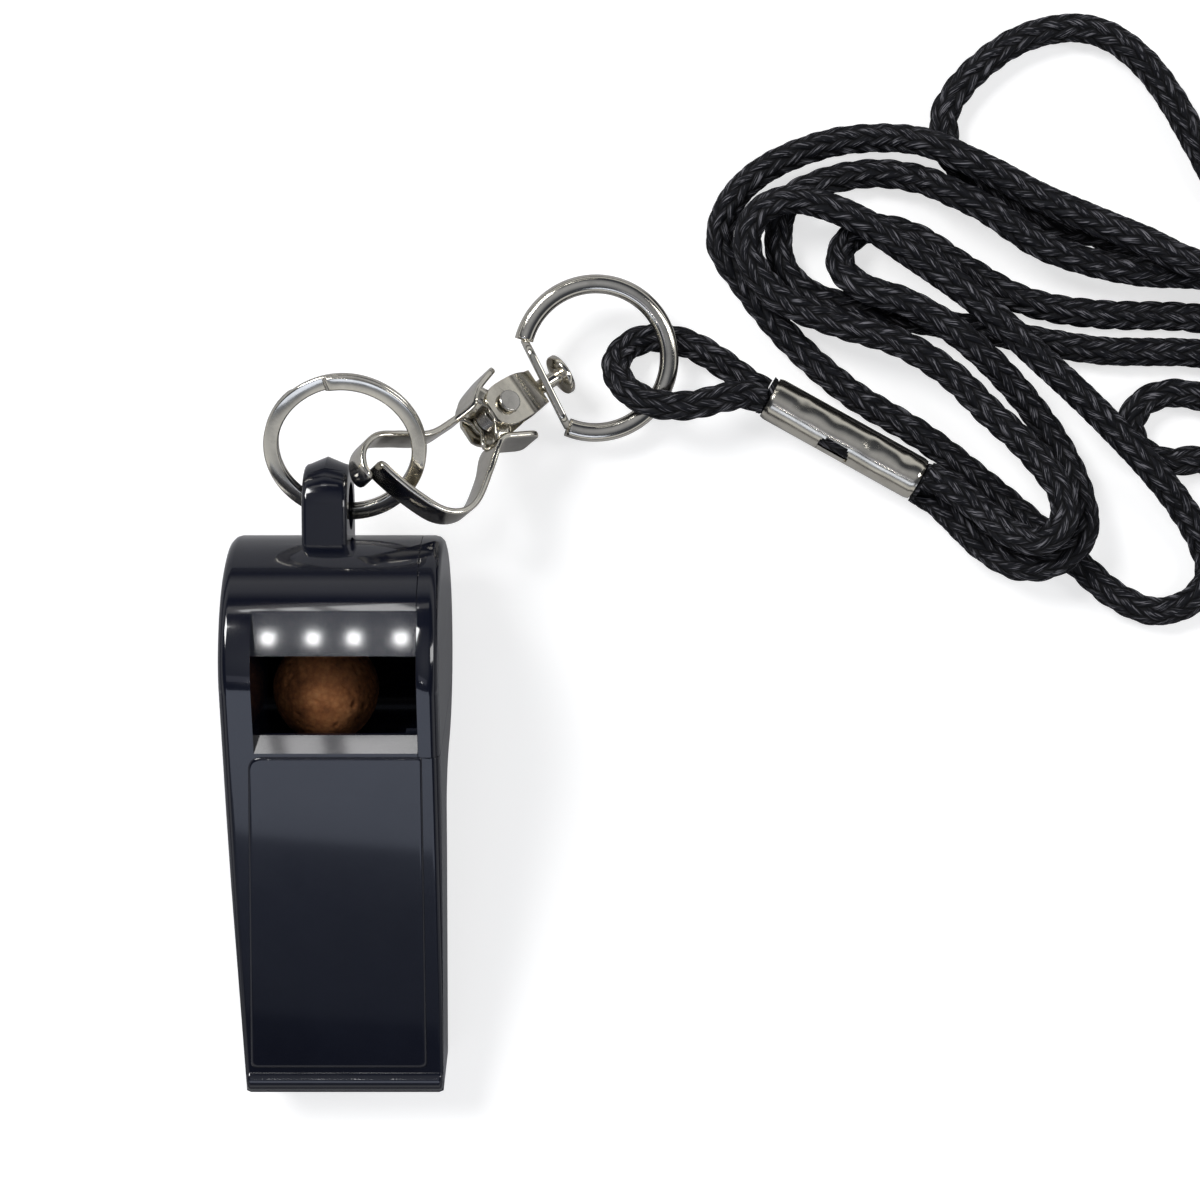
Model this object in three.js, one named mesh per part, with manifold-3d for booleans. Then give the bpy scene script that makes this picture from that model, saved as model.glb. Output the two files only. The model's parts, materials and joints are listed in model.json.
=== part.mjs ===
// Plastic pea whistle on a split ring, a sprung scissor clip and a braided neck cord.
// Millimetres, +Z up. The whistle lies on its round chamber and its lip, mouth towards -Y.
// Every place below is measured from the point on the table under the chamber's axis;
// the last lines move the whole object so that its base centre is the origin.

import * as THREE from 'three';
import { mergeVertices } from 'three/addons/utils/BufferGeometryUtils.js';
import Module from 'manifold-3d';

const wasm = await Module();
wasm.setup();

const degree = Math.PI / 180;

// Clearances between pieces
const seamGap = 0.3;        // between moulded shell and glued cap, and between touching pieces
const pinClearance = 0.15;  // round the rivet in the jaws' ears
const peaClearance = 0.3;   // pea to chamber wall

// Whistle body, in its own frame: X across, -Y to the mouth, Z to the windway's top
const chamberRadius = 9.2;
const chamberWall = 1.6;
const barrelRadius = chamberRadius + chamberWall;
const bodyWidth = 19.5;
const shoulderRound = 0.9;
const cheekWall = 2.95;
const capThickness = 2.0;
const mouthReach = 40.3;      // chamber axis to lip front
const mouthWidth = 18.5;
const windwayTop = 11.0;      // top face above the chamber's axis
const windwayRoof = 1.7;
const windwayDepth = 7.0;     // top face to underside at the lip
const windwayWidth = 13.2;
const exitHeight = 1.7;       // air slot where it meets the window
const mouthHeight = 3.6;      // air slot at the lip
const lipBead = 0.45;         // how far the bite ridge stands proud
const lipBeadLength = 2.3;
const windowBack = 3.1;       // blade edge, measured from the chamber's axis
const windowFront = -4.05;    // windway end of the window
const windowChamfer = 1.25;
const rampRun = 4.1;          // length of the blade's ramp
const shoulderBlend = 55 * degree; // where the flat top runs into the round barrel
const capSplit = windowFront - 1.4;

// Lug that takes the ring
const lugReach = 13.5;        // chamber axis to hole
const lugWidth = 4.15;
const lugRound = 3.9;
const lugHoleRadius = 2.2;
const lugElevation = 4 * degree; // above the table, once the whistle lies down

// Cork pea
const peaRadius = 5.0;
const peaTurn = 62 * degree;  // round from the chamber's lowest point, towards the mouth

// Split ring
const ringOuterRadius = 7.4;
const ringWireWidth = 1.35;
const ringWireThickness = 0.55;
const ringGroove = 0.22;
const ringCentre = new THREE.Vector3(0.87, 18.66, 14.88);
const ringTilt = 33 * degree;
const ringEndGap = 0.5;
const ringEndTurns = [128 * degree, 206 * degree];

// Scissor clip: pivot, its slope and heading
const clipPivot = new THREE.Vector3(14.02, 22.17, 7.6);
const clipHeading = 213.65 * degree;
const clipSlope = 33 * degree;
const stripThickness = 0.6;
const tabWidth = 4.4;
const armWidth = 3.2;
const clawWidth = 3.0;
const earThickness = 0.35;
const innerEarOffset = 1.35;
const outerEarOffset = innerEarOffset + earThickness + seamGap;
const earRadius = 1.35;
const pinRadius = 0.6;
const pinHeadRadius = 1.05;
const pinHeadThickness = 0.35;
const bailInside = outerEarOffset + earThickness + seamGap;
const bailThickness = 0.5;
const bailNeck = 4.5;
const bailNeckHeight = 1.5;
const bailNeckWidth = 3.6;
const bailEnd = 2.1;          // round end over the rivet
const springWire = 0.28;
const springRadius = 1.3;
const springTurns = 2.5;
const springPitch = 0.72;

// Swivel stud and D-ring
const studRadius = 0.7;
const studHeadRadius = 2.0;
const studHeadThickness = 0.55;
const studHole = 1.15;        // in the bail's neck
const studLean = 14 * degree; // it lies flatter than the clip
const studPlateReach = 2.15;  // bail's neck to the middle of the D-ring's base plate
const studHeadReach = 3.65;
const dWireRadius = 0.93;
const dArcRadius = 7.05;
const dPlateOffset = 5.3;
const dPlateThickness = 0.7;
const dPlateLength = 9.6;
const dPlateWidth = 5.0;
const dPlateHoleRadius = 1.65;
const dRoll = 11.2 * degree;  // right-hand side lower
const dHeading = 26.8 * degree;

// Cord and its crimped ferrule
const cordDiameter = 2.8;
const ferruleRadius = 2.15;
const ferruleWall = 0.4;
const ferruleLength = 16.2;
const ferruleLeft = new THREE.Vector3(40.3, 24.2, 3.0);
const ferruleHeading = -29.1 * degree;
const ferruleNotchLength = 3.2;
const ferruleNotchDepth = 1.1;
const crimpDepth = 0.25;
const crimpLength = 2.4;

// Tie loop: out of the ferrule, under the D-ring, round inside it, back over its wire
const tieRoute = [
  [39.9, 24.8, 1.5], [38.1, 25.9, 1.5], [35.8, 27.6, 1.5], [32.7, 29.4, 1.5], [29.4, 30.1, 1.5],
  [26.8, 29.3, 1.8], [25.5, 27.3, 3.1], [26.5, 24.9, 4.8], [29.1, 23.4, 6.0],
  [32.5, 23.2, 6.0], [35.8, 24.0, 5.4], [38.0, 24.3, 4.8], [39.6, 23.8, 4.7],
];

// Neck loop: the two strands leave the ferrule together and the rest is heaped in loose loops.
// Each stretch is a list of points picked along the cord, in the order that it runs.
const upperStrandOut = [
  [55.1, 16.7, 4.6], [57.4, 15.4, 4.8], [60.5, 13.0, 5.6], [62.9, 11.0, 6.8],
  [65.4, 10.3, 7.7], [67.3, 11.9, 8.0], [67.4, 14.7, 7.6], [65.9, 17.4, 6.4],
];
const leftEdgeOfHeap = [
  [63.8, 20.0, 5.4], [61.0, 22.6, 5.0], [57.2, 26.3, 4.9], [52.5, 29.2, 4.9],
  [46.3, 31.2, 4.8], [41.6, 33.2, 4.8], [38.7, 36.2, 4.8], [38.0, 39.2, 4.9], [39.1, 41.6, 5.1],
];
const topDiagonal = [
  [42.0, 42.8, 5.2], [47.7, 41.3, 5.2], [53.7, 37.5, 5.2], [60.0, 33.0, 5.2],
  [66.0, 27.5, 5.2], [69.1, 24.7, 5.0], [72.0, 21.9, 4.9], [76.2, 17.4, 5.1],
];
const lowerRightBend = [
  [79.7, 13.6, 3.2], [82.2, 9.8, 1.7], [82.7, 7.2, 1.6], [81.1, 4.8, 1.6],
  [77.5, 3.7, 1.6], [73.6, 5.3, 1.6], [70.3, 8.1, 1.6],
];
const pastTheFerrule = [
  [66.4, 11.5, 1.6], [61.6, 15.5, 1.6], [55.3, 20.4, 1.6], [48.1, 24.8, 1.6], [42.3, 29.9, 1.6],
];
const outerLeftBend = [
  [38.0, 35.2, 1.6], [35.6, 39.2, 1.6], [36.5, 42.9, 1.6], [39.6, 46.1, 1.6], [46.1, 48.8, 1.6],
];
const upperEdgeOfHeap = [
  [51.9, 49.2, 2.2], [55.4, 48.2, 4.6], [58.3, 46.8, 5.2], [61.9, 45.1, 5.2],
  [65.5, 43.1, 5.4], [70.2, 40.8, 6.6], [75.0, 38.5, 8.0], [80.1, 36.2, 8.4],
];
const firstFarBend = [
  [85.9, 37.0, 7.6], [94.5, 39.7, 4.2], [105.9, 41.7, 1.6], [116.5, 39.9, 1.6],
  [123.3, 33.7, 1.6], [124.7, 27.0, 1.6], [121.3, 20.2, 1.6], [114.6, 16.4, 1.6],
  [105.0, 15.3, 1.6], [93.4, 16.3, 1.6], [81.8, 18.3, 1.6],
];
const smallFold = [
  [78.5, 18.1, 1.6], [75.9, 19.4, 1.6], [75.1, 21.6, 1.6], [76.2, 23.7, 1.6], [78.7, 24.7, 1.6],
];
const secondFarBend = [
  [81.8, 24.4, 1.6], [89.5, 22.0, 1.6], [97.2, 19.5, 1.6], [105.9, 18.8, 1.6],
  [113.6, 20.7, 1.6], [118.9, 25.5, 1.6], [119.4, 31.8, 1.6], [115.6, 36.4, 1.6],
  [108.8, 38.0, 1.6], [99.2, 37.6, 1.6], [90.5, 36.6, 1.6], [81.8, 36.6, 1.6],
];
const highLoop = [
  [76.4, 38.5, 1.6], [71.2, 40.3, 1.6], [66.5, 41.2, 1.6], [62.9, 43.2, 1.6],
  [59.7, 45.3, 1.6], [57.5, 48.4, 1.6], [57.2, 51.5, 1.6], [58.4, 53.8, 1.6],
  [60.4, 56.0, 1.6], [63.7, 58.4, 1.6], [66.9, 59.6, 1.6], [70.3, 59.9, 1.6],
  [73.3, 59.0, 1.6], [76.4, 56.6, 1.6], [79.0, 53.2, 1.6], [81.8, 48.3, 1.6],
];
const thirdFarBend = [
  [84.2, 44.3, 1.6], [88.3, 42.2, 1.8], [93.9, 43.1, 3.0], [100.5, 44.5, 3.4],
  [107.5, 43.7, 5.0], [113.7, 40.4, 5.0], [115.1, 34.2, 5.0], [114.5, 28.9, 1.8],
  [110.7, 24.6, 1.6], [105.0, 22.2, 1.6], [96.3, 23.5, 1.6], [88.6, 26.3, 1.6],
];
const underTheHeap = [
  [81.8, 28.5, 1.6], [77.0, 28.7, 1.6], [72.6, 28.8, 1.6], [67.7, 29.5, 1.6],
  [62.5, 30.5, 1.6], [55.8, 31.6, 1.6], [49.1, 32.8, 1.6], [44.2, 34.3, 1.6],
  [41.7, 36.8, 1.6], [41.2, 40.0, 1.6], [42.1, 43.2, 1.6],
];
const secondRow = [
  [45.4, 45.0, 1.6], [50.2, 45.9, 1.6], [54.7, 45.2, 2.4], [57.8, 43.5, 4.4],
  [60.6, 42.0, 5.0], [63.1, 40.3, 5.0], [65.9, 38.5, 5.0], [70.5, 36.9, 5.0],
  [75.6, 35.9, 5.0], [81.0, 35.6, 5.0],
];
const lastFarBend = [
  [87.6, 34.2, 4.9], [94.8, 33.4, 3.2], [102.1, 33.8, 1.6], [107.1, 32.8, 1.6],
  [109.2, 29.9, 1.6], [107.1, 26.7, 1.6], [102.1, 25.8, 1.6], [95.3, 27.4, 1.6],
  [88.6, 30.0, 1.6], [81.8, 31.9, 1.6],
];
const innerLoop = [
  [72.6, 32.3, 1.6], [67.7, 32.9, 1.6], [64.0, 34.0, 1.6], [58.7, 37.0, 1.6],
  [54.4, 39.7, 1.6], [50.2, 40.6, 1.6], [47.5, 39.0, 2.0], [47.1, 36.6, 3.2],
  [49.0, 34.5, 4.8], [52.9, 33.1, 5.2], [56.7, 31.0, 5.2], [59.9, 28.6, 4.8],
];
const lowerStrandBack = [
  [63.0, 25.8, 3.6], [65.5, 23.1, 2.6], [68.2, 19.2, 2.4], [69.9, 14.8, 3.4],
  [69.9, 11.0, 4.9], [67.2, 8.4, 5.1], [64.0, 8.0, 4.2], [60.9, 9.8, 2.6],
  [58.4, 12.3, 1.8], [56.5, 14.2, 1.5], [54.4, 15.5, 1.5],
];
const neckRoute = [
  ...upperStrandOut, ...leftEdgeOfHeap, ...topDiagonal, ...lowerRightBend, ...pastTheFerrule,
  ...outerLeftBend, ...upperEdgeOfHeap, ...firstFarBend, ...smallFold, ...secondFarBend,
  ...highLoop, ...thirdFarBend, ...underTheHeap, ...secondRow, ...lastFarBend, ...innerLoop,
  ...lowerStrandBack,
];

// Solids from geometry, and back

function toSolid(geometry) {
  const bare = geometry.index ? geometry.toNonIndexed() : geometry.clone();
  bare.deleteAttribute('normal');
  bare.deleteAttribute('uv');
  const merged = mergeVertices(bare, 1e-4);
  const vertProperties = new Float32Array(merged.attributes.position.array);
  const triVerts = new Uint32Array(merged.index.array);
  const faces = [];
  for (let i = 0; i < triVerts.length; i += 3) {
    const [a, b, c] = triVerts.subarray(i, i + 3);
    if (a !== b && b !== c && c !== a) faces.push(a, b, c);
  }
  const solid = new wasm.Manifold(new wasm.Mesh({
    numProp: 3,
    vertProperties,
    triVerts: new Uint32Array(faces),
  }));
  return solid;
}

function toGeometry(solid) {
  const mesh = solid.getMesh();
  const geometry = new THREE.BufferGeometry();
  geometry.setAttribute('position', new THREE.BufferAttribute(new Float32Array(mesh.vertProperties), 3));
  geometry.setIndex(new THREE.BufferAttribute(new Uint32Array(mesh.triVerts), 1));
  geometry.computeVertexNormals();
  return geometry;
}

function box(x0, x1, y0, y1, z0, z1) {
  const geometry = new THREE.BoxGeometry(x1 - x0, y1 - y0, z1 - z0);
  geometry.translate((x0 + x1) / 2, (y0 + y1) / 2, (z0 + z1) / 2);
  return toSolid(geometry);
}

// A cylinder along 'x', 'y' or 'z'
function rod(radius, along, from, to, sides = 24) {
  const geometry = new THREE.CylinderGeometry(radius, radius, to - from, sides);
  geometry.translate(0, (from + to) / 2, 0);
  if (along === 'x') geometry.rotateZ(-Math.PI / 2);
  if (along === 'z') geometry.rotateX(Math.PI / 2);
  return toSolid(geometry);
}

// The same outline as single points, with no point twice
function plain(shape, curveSegments) {
  const points = shape.getPoints(curveSegments);
  const kept = points.filter((point, i) => i === 0 || point.distanceTo(points[i - 1]) > 0.02);
  if (kept[0].distanceTo(kept[kept.length - 1]) < 0.02) kept.pop();
  return new THREE.Shape(kept);
}

// An outline drawn in (y, z), pushed out along X
function acrossX(shape, from, to, bevel = 0, curveSegments = 14) {
  const geometry = new THREE.ExtrudeGeometry(plain(shape, curveSegments), {
    depth: to - from - 2 * bevel,
    bevelEnabled: bevel > 0,
    bevelThickness: bevel,
    bevelSize: bevel,
    bevelOffset: -bevel,
    bevelSegments: 3,
  });
  geometry.translate(0, 0, from + bevel);
  const turn = new THREE.Matrix4().makeBasis(
    new THREE.Vector3(0, 1, 0),
    new THREE.Vector3(0, 0, 1),
    new THREE.Vector3(1, 0, 0),
  );
  geometry.applyMatrix4(turn);
  return toSolid(geometry);
}

// An outline drawn in (x, y), pushed up along Z
function upZ(shape, from, to, curveSegments = 10) {
  const outline = plain(shape, curveSegments);
  const geometry = new THREE.ExtrudeGeometry(outline, { depth: to - from, bevelEnabled: false });
  geometry.translate(0, 0, from);
  return toSolid(geometry);
}

// An outline drawn in (x, z), pushed out along Y
function acrossY(shape, from, to, curveSegments = 10) {
  const outline = plain(shape, curveSegments);
  const geometry = new THREE.ExtrudeGeometry(outline, { depth: to - from, bevelEnabled: false });
  geometry.rotateX(Math.PI / 2);
  geometry.translate(0, to, 0);
  return toSolid(geometry);
}

function polygon(points) {
  return new THREE.Shape(points.map(([a, b]) => new THREE.Vector2(a, b)));
}

// The outline of a strip of even thickness that follows a smooth line
function stripShape(points, thickness, steps) {
  const line = new THREE.SplineCurve(points.map(([a, b]) => new THREE.Vector2(a, b)));
  const left = [];
  const right = [];
  for (let i = 0; i <= steps; i += 1) {
    const at = line.getPointAt(i / steps);
    const along = line.getTangentAt(i / steps);
    const side = new THREE.Vector2(-along.y, along.x).multiplyScalar(thickness / 2);
    left.push(at.clone().add(side));
    right.push(at.clone().sub(side));
  }
  return new THREE.Shape([...right, ...left.reverse()]);
}

// Spline that is stepped at its own points, so the tube has short steps where it bends
class RoutePath extends THREE.CatmullRomCurve3 {
  getUtoTmapping(u) {
    return u;
  }
}

function regularShape(radius, sides) {
  const points = [];
  for (let i = 0; i < sides; i += 1) {
    const angle = (2 * Math.PI * i) / sides;
    points.push(new THREE.Vector2(radius * Math.cos(angle), radius * Math.sin(angle)));
  }
  return new THREE.Shape(points);
}

function tube(path, radius, sides, steps) {
  const geometry = new THREE.ExtrudeGeometry(regularShape(radius, sides), {
    steps,
    extrudePath: path,
    bevelEnabled: false,
  });
  return toSolid(geometry);
}

function routePath(route) {
  return new RoutePath(route.map((point) => new THREE.Vector3(...point)), false, 'centripetal');
}

// Materials

const blackPlastic = { color: 0x1a2029, roughness: 0.32, metalness: 0 };
const cork = { color: 0xb5622e, roughness: 0.85, metalness: 0 };
const nickel = { color: 0xc9c5ba, roughness: 0.22, metalness: 1 };
const brightNickel = { color: 0xd8d4c6, roughness: 0.16, metalness: 1 };
const springSteel = { color: 0x9c998f, roughness: 0.3, metalness: 1 };
const blackCord = { color: 0x14161c, roughness: 0.9, metalness: 0 };

function piece(name, solid, finish) {
  const mesh = new THREE.Mesh(toGeometry(solid), new THREE.MeshStandardMaterial(finish));
  mesh.name = name;
  return mesh;
}

// Whistle

// Tilt at which the chamber and the lip touch the table together
const restTilt = Math.min(...beadOutline().getPoints(6).map((point) => (
  Math.atan2(point.y, -point.x) + Math.asin(barrelRadius / point.length())
)));
const lugTurn = lugElevation - restTilt; // in the body's own frame
const halfWidth = bodyWidth / 2;
const seam = halfWidth - capThickness;
const windowLeft = -halfWidth + cheekWall;
const windowRight = seam + seamGap;

function bodyOutline() {
  const outline = new THREE.Shape();
  const under = windwayTop - windwayDepth;
  outline.moveTo(-mouthReach, under);
  outline.lineTo(-mouthReach, windwayTop);
  outline.lineTo(0.2, windwayTop);
  const blendY = barrelRadius * Math.cos(shoulderBlend);
  const blendZ = barrelRadius * Math.sin(shoulderBlend);
  outline.quadraticCurveTo(blendY - (windwayTop - blendZ) * Math.tan(shoulderBlend), windwayTop, blendY, blendZ);
  const throat = 190 * degree;
  outline.absarc(0, 0, barrelRadius, shoulderBlend, throat - 2 * Math.PI, true);
  outline.quadraticCurveTo(-barrelRadius - 0.6, 2.2, -barrelRadius - 3.2, 2.7);
  outline.lineTo(-mouthReach, under);
  return outline;
}

// Bite ridge round the lip
function beadOutline() {
  const back = -mouthReach + lipBeadLength;
  const middle = -mouthReach + lipBeadLength / 2;
  const low = windwayTop - windwayDepth - lipBead;
  const high = windwayTop + lipBead;
  const outline = new THREE.Shape();
  outline.moveTo(-mouthReach, low + 1.1);
  outline.lineTo(-mouthReach, high - 1.1);
  outline.quadraticCurveTo(-mouthReach, high, middle, high);
  outline.quadraticCurveTo(back, high, back, high - 1.1);
  outline.lineTo(back, low + 1.1);
  outline.quadraticCurveTo(back, low, middle, low);
  outline.quadraticCurveTo(-mouthReach, low, -mouthReach, low + 1.1);
  return outline;
}

function planOutline() {
  const wide = halfWidth;
  const narrow = mouthWidth / 2;
  const taperFrom = -barrelRadius - 1;
  return polygon([
    [-wide, barrelRadius + 1], [-wide, taperFrom], [-narrow, -mouthReach - 1],
    [narrow, -mouthReach - 1], [wide, taperFrom], [wide, barrelRadius + 1],
  ]);
}

function wholeBody() {
  const block = acrossX(bodyOutline(), -halfWidth, halfWidth, shoulderRound, 20);
  const narrow = mouthWidth / 2;
  const bead = acrossX(beadOutline(), -narrow, narrow, 0.4, 6);
  return block.intersect(upZ(planOutline(), -2 * barrelRadius, 2 * barrelRadius)).add(bead);
}

function windowCut() {
  const above = windwayTop + 4;
  const edgeHeight = Math.sqrt(chamberRadius ** 2 - windowBack ** 2);
  const rampEnd = windowBack + rampRun;
  const rampHeight = Math.sqrt(barrelRadius ** 2 - rampEnd ** 2);
  const slope = (rampHeight - edgeHeight) / rampRun;
  return acrossX(polygon([
    [windowFront, chamberRadius * 0.6],
    [windowBack, chamberRadius * 0.6],
    [windowBack, edgeHeight],
    [rampEnd + 1, rampHeight + slope],
    [rampEnd + 1, above],
    [windowFront - windowChamfer, above],
    [windowFront - windowChamfer, windwayTop],
    [windowFront, windwayTop - windwayRoof * 0.75],
  ]), windowLeft, windowRight);
}

function windwayCut() {
  const roof = windwayTop - windwayRoof;
  return acrossX(polygon([
    [-mouthReach - 1, roof - mouthHeight],
    [windowFront + 0.8, roof - exitHeight],
    [windowFront + 0.8, roof],
    [-mouthReach - 1, roof],
  ]), -windwayWidth / 2, windwayWidth / 2);
}

function lug() {
  const plate = new THREE.Shape();
  plate.moveTo(chamberRadius + 0.4, -lugRound);
  plate.lineTo(lugReach, -lugRound);
  plate.absarc(lugReach, 0, lugRound, -Math.PI / 2, Math.PI / 2, false);
  plate.lineTo(chamberRadius + 0.4, lugRound);
  const middle = (seam - halfWidth) / 2;
  const solid = acrossX(plate, middle - lugWidth / 2, middle + lugWidth / 2, 0.5, 16);
  const hole = rod(lugHoleRadius, 'x', -halfWidth, halfWidth, 28).translate([0, lugReach, 0]);
  return solid.subtract(hole).rotate([lugTurn / degree, 0, 0]);
}

function bodyShell() {
  const chamber = rod(chamberRadius, 'x', windowLeft, windowRight, 48);
  const capSpace = box(seam, halfWidth + 1, capSplit - seamGap, 2 * barrelRadius, -2 * barrelRadius, 2 * barrelRadius);
  return wholeBody()
    .subtract(chamber)
    .subtract(capSpace)
    .subtract(windowCut())
    .subtract(windwayCut())
    .add(lug());
}

function sideCap() {
  const space = box(seam + seamGap, halfWidth + 1, capSplit, 2 * barrelRadius, -2 * barrelRadius, 2 * barrelRadius);
  return wholeBody().intersect(space);
}

function corkPea() {
  const ball = toSolid(new THREE.SphereGeometry(peaRadius, 24, 16));
  const orbit = chamberRadius - peaClearance - peaRadius;
  const turn = peaTurn + restTilt;
  const leftmost = windowLeft + peaClearance + peaRadius; // it lies by the left cheek
  return ball.translate([leftmost, -orbit * Math.sin(turn), -orbit * Math.cos(turn)]);
}

function whistle() {
  const group = new THREE.Group();
  group.add(piece('body_shell', bodyShell(), blackPlastic));
  group.add(piece('side_cap', sideCap(), blackPlastic));
  group.add(piece('cork_pea', corkPea(), cork));
  group.position.set(0, 0, barrelRadius);
  group.rotation.x = restTilt;
  return group;
}

// Split ring: two flat turns with a groove between them and a gap at each wire end

function splitRing() {
  const inner = ringOuterRadius - ringWireWidth;
  const t = ringWireThickness;
  const profile = [
    [inner, -t * 0.7], [inner + 0.25, -t], [ringOuterRadius - 0.25, -t], [ringOuterRadius, -t * 0.7],
    [ringOuterRadius, -0.1], [ringOuterRadius - ringGroove, 0], [ringOuterRadius, 0.1],
    [ringOuterRadius, t * 0.7], [ringOuterRadius - 0.25, t], [inner + 0.25, t], [inner, t * 0.7],
    [inner, 0.1], [inner + ringGroove, 0], [inner, -0.1], [inner, -t * 0.7],
  ].map(([radius, height]) => new THREE.Vector2(radius, height));
  const lathe = new THREE.LatheGeometry(profile, 40);
  lathe.rotateX(Math.PI / 2);
  let ring = toSolid(lathe);
  ringEndTurns.forEach((turn, index) => {
    const side = index === 0 ? 1 : -1;
    const slot = box(inner - 1, ringOuterRadius + 1, -ringEndGap / 2, ringEndGap / 2, 0.1, t + 1);
    const placed = side > 0 ? slot : slot.rotate([180, 0, 0]);
    ring = ring.subtract(placed.rotate([0, 0, turn / degree]));
  });
  const mesh = piece('split_ring', ring, nickel);
  mesh.position.copy(ringCentre);
  mesh.rotation.x = ringTilt;
  return mesh;
}

// Scissor clip, in its own frame: X towards the claws, Y to the right-hand jaw, Z up through the rivet

const leftJawLine = [
  [-1.85, -3.6], [0.6, -2.85], [1.65, -2.2], [2.65, -1.55], [4.9, -1.3], [7.8, -1.35],
  [10.75, -2.8], [12.7, -3.6], [14.55, -3.1], [15.5, -1.7], [15.4, -0.4],
];
const rightJawLine = [
  [-1.95, 3.9], [0.5, 2.85], [1.55, 2.5], [2.65, 2.9], [4.6, 4.4], [7.4, 6.1], [9.4, 6.3],
  [11.15, 5.2], [12.5, 2.7], [13.4, 0.3], [13.85, -1.5],
];
const jawVertex = 1.6; // how far ahead of the rivet each jaw's strip bends

function jawWidthShape() {
  const half = [tabWidth / 2, armWidth / 2, clawWidth / 2];
  const side = [[-4, half[0] - 0.5], [-1, half[0]]];
  for (let i = 0; i <= 8; i += 1) {
    const share = i / 8;
    const eased = share * share * (3 - 2 * share);
    side.push([2 + 3 * share, half[0] + (half[1] - half[0]) * eased]);
  }
  side.push([12, half[1]], [18, half[2]]);
  const lower = side.map(([along, across]) => [along, -across]);
  return polygon([...lower, ...side.reverse()]);
}

function jaw(name, line, earOffset) {
  const strip = upZ(stripShape(line, stripThickness, 36), -tabWidth / 2, tabWidth / 2)
    .intersect(acrossY(jawWidthShape(), -10, 10));
  const side = Math.sign(line[0][1]);
  const bend = line.find(([along]) => along >= jawVertex - 0.11);
  const reach = Math.hypot(bend[0], bend[1]);
  const turn = Math.atan2(bend[1], bend[0]) / degree;
  const pinHole = rod(pinRadius + pinClearance, 'z', -4, 4);
  let solid = strip;
  [-1, 1].forEach((end) => {
    const low = end > 0 ? earOffset : -earOffset - earThickness;
    const eye = rod(earRadius, 'z', low, low + earThickness, 20);
    const neck = box(0, reach, -0.8, 0.8, low, low + earThickness).rotate([0, 0, turn]);
    solid = solid.add(eye.add(neck).subtract(pinHole));
  });
  return piece(name, solid, side < 0 ? brightNickel : nickel);
}

function bail() {
  const middle = bailInside + bailThickness / 2;
  const upper = [
    [1.9, middle], [-0.5, middle], [-2.0, middle - 0.05], [-3.4, middle - 0.5],
    [-4.6, bailNeckHeight + 0.3], [-bailNeck, bailNeckHeight - 0.4],
  ];
  const mirrored = upper.map(([along, up]) => [along, -up]).reverse();
  const strap = acrossY(stripShape([...upper, [-bailNeck - 0.08, 0], ...mirrored], bailThickness, 36), -5, 5);
  const teardrop = new THREE.Shape();
  teardrop.moveTo(-bailNeck - 1, -bailNeckWidth / 2);
  teardrop.lineTo(-bailNeck + 0.6, -bailNeckWidth / 2);
  teardrop.quadraticCurveTo(-2.4, -bailEnd - 0.1, 0, -bailEnd);
  teardrop.absarc(0, 0, bailEnd, -Math.PI / 2, Math.PI / 2, false);
  teardrop.quadraticCurveTo(-2.4, bailEnd + 0.1, -bailNeck + 0.6, bailNeckWidth / 2);
  teardrop.lineTo(-bailNeck - 1, bailNeckWidth / 2);
  const pinHole = rod(pinRadius + seamGap, 'z', -5, 5);
  const neckHole = rod(studHole, 'x', -bailNeck - 2, -bailNeck + 2);
  const solid = strap.intersect(upZ(teardrop, -5, 5)).subtract(pinHole).subtract(neckHole);
  return piece('clip_bail', solid, nickel);
}

function rivet() {
  const head = bailInside + bailThickness + seamGap;
  const shank = rod(pinRadius, 'z', -head - 0.1, head + 0.1, 16);
  const heads = rod(pinHeadRadius, 'z', head, head + pinHeadThickness, 20)
    .add(rod(pinHeadRadius, 'z', -head - pinHeadThickness, -head, 20));
  return piece('jaw_rivet', shank.add(heads), springSteel);
}

// Torsion spring round the rivet: turns from a formula, with a short tail to each jaw
function jawSpring() {
  const points = [];
  const start = -90 * degree;
  const steps = Math.round(8 * springTurns);
  const low = -springPitch * springTurns / 2;
  const legReach = 1.7;
  points.push(new THREE.Vector3(-legReach, -springRadius - 0.3, low));
  for (let i = 0; i <= steps; i += 1) {
    const angle = start + (2 * Math.PI * springTurns * i) / steps;
    points.push(new THREE.Vector3(
      springRadius * Math.cos(angle),
      springRadius * Math.sin(angle),
      low + (springPitch * springTurns * i) / steps,
    ));
  }
  points.push(new THREE.Vector3(-legReach, springRadius + 0.3, -low));
  const path = new RoutePath(points, false, 'centripetal');
  console.log(`jaw_spring least gap between turns ${(springPitch - springWire).toFixed(2)} mm`);
  return piece('jaw_spring', tube(path, springWire / 2, 5, points.length - 1), springSteel);
}

// Stud of the swivel: leans in the hole of the bail's neck, so that it lies flatter than the clip
function swivelStud() {
  const peenedAt = bailThickness / 2 + seamGap + 0.35;
  const shank = rod(studRadius, 'x', -studHeadReach - 0.1, peenedAt + 0.1, 20);
  const head = rod(studHeadRadius, 'x', -studHeadReach - studHeadThickness, -studHeadReach, 24);
  const peened = rod(studHole + 0.2, 'x', peenedAt, peenedAt + 0.4, 20);
  const mesh = piece('swivel_stud', shank.add(head).add(peened), nickel);
  mesh.position.x = -bailNeck;
  mesh.rotation.y = studLean;
  return mesh;
}

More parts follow.
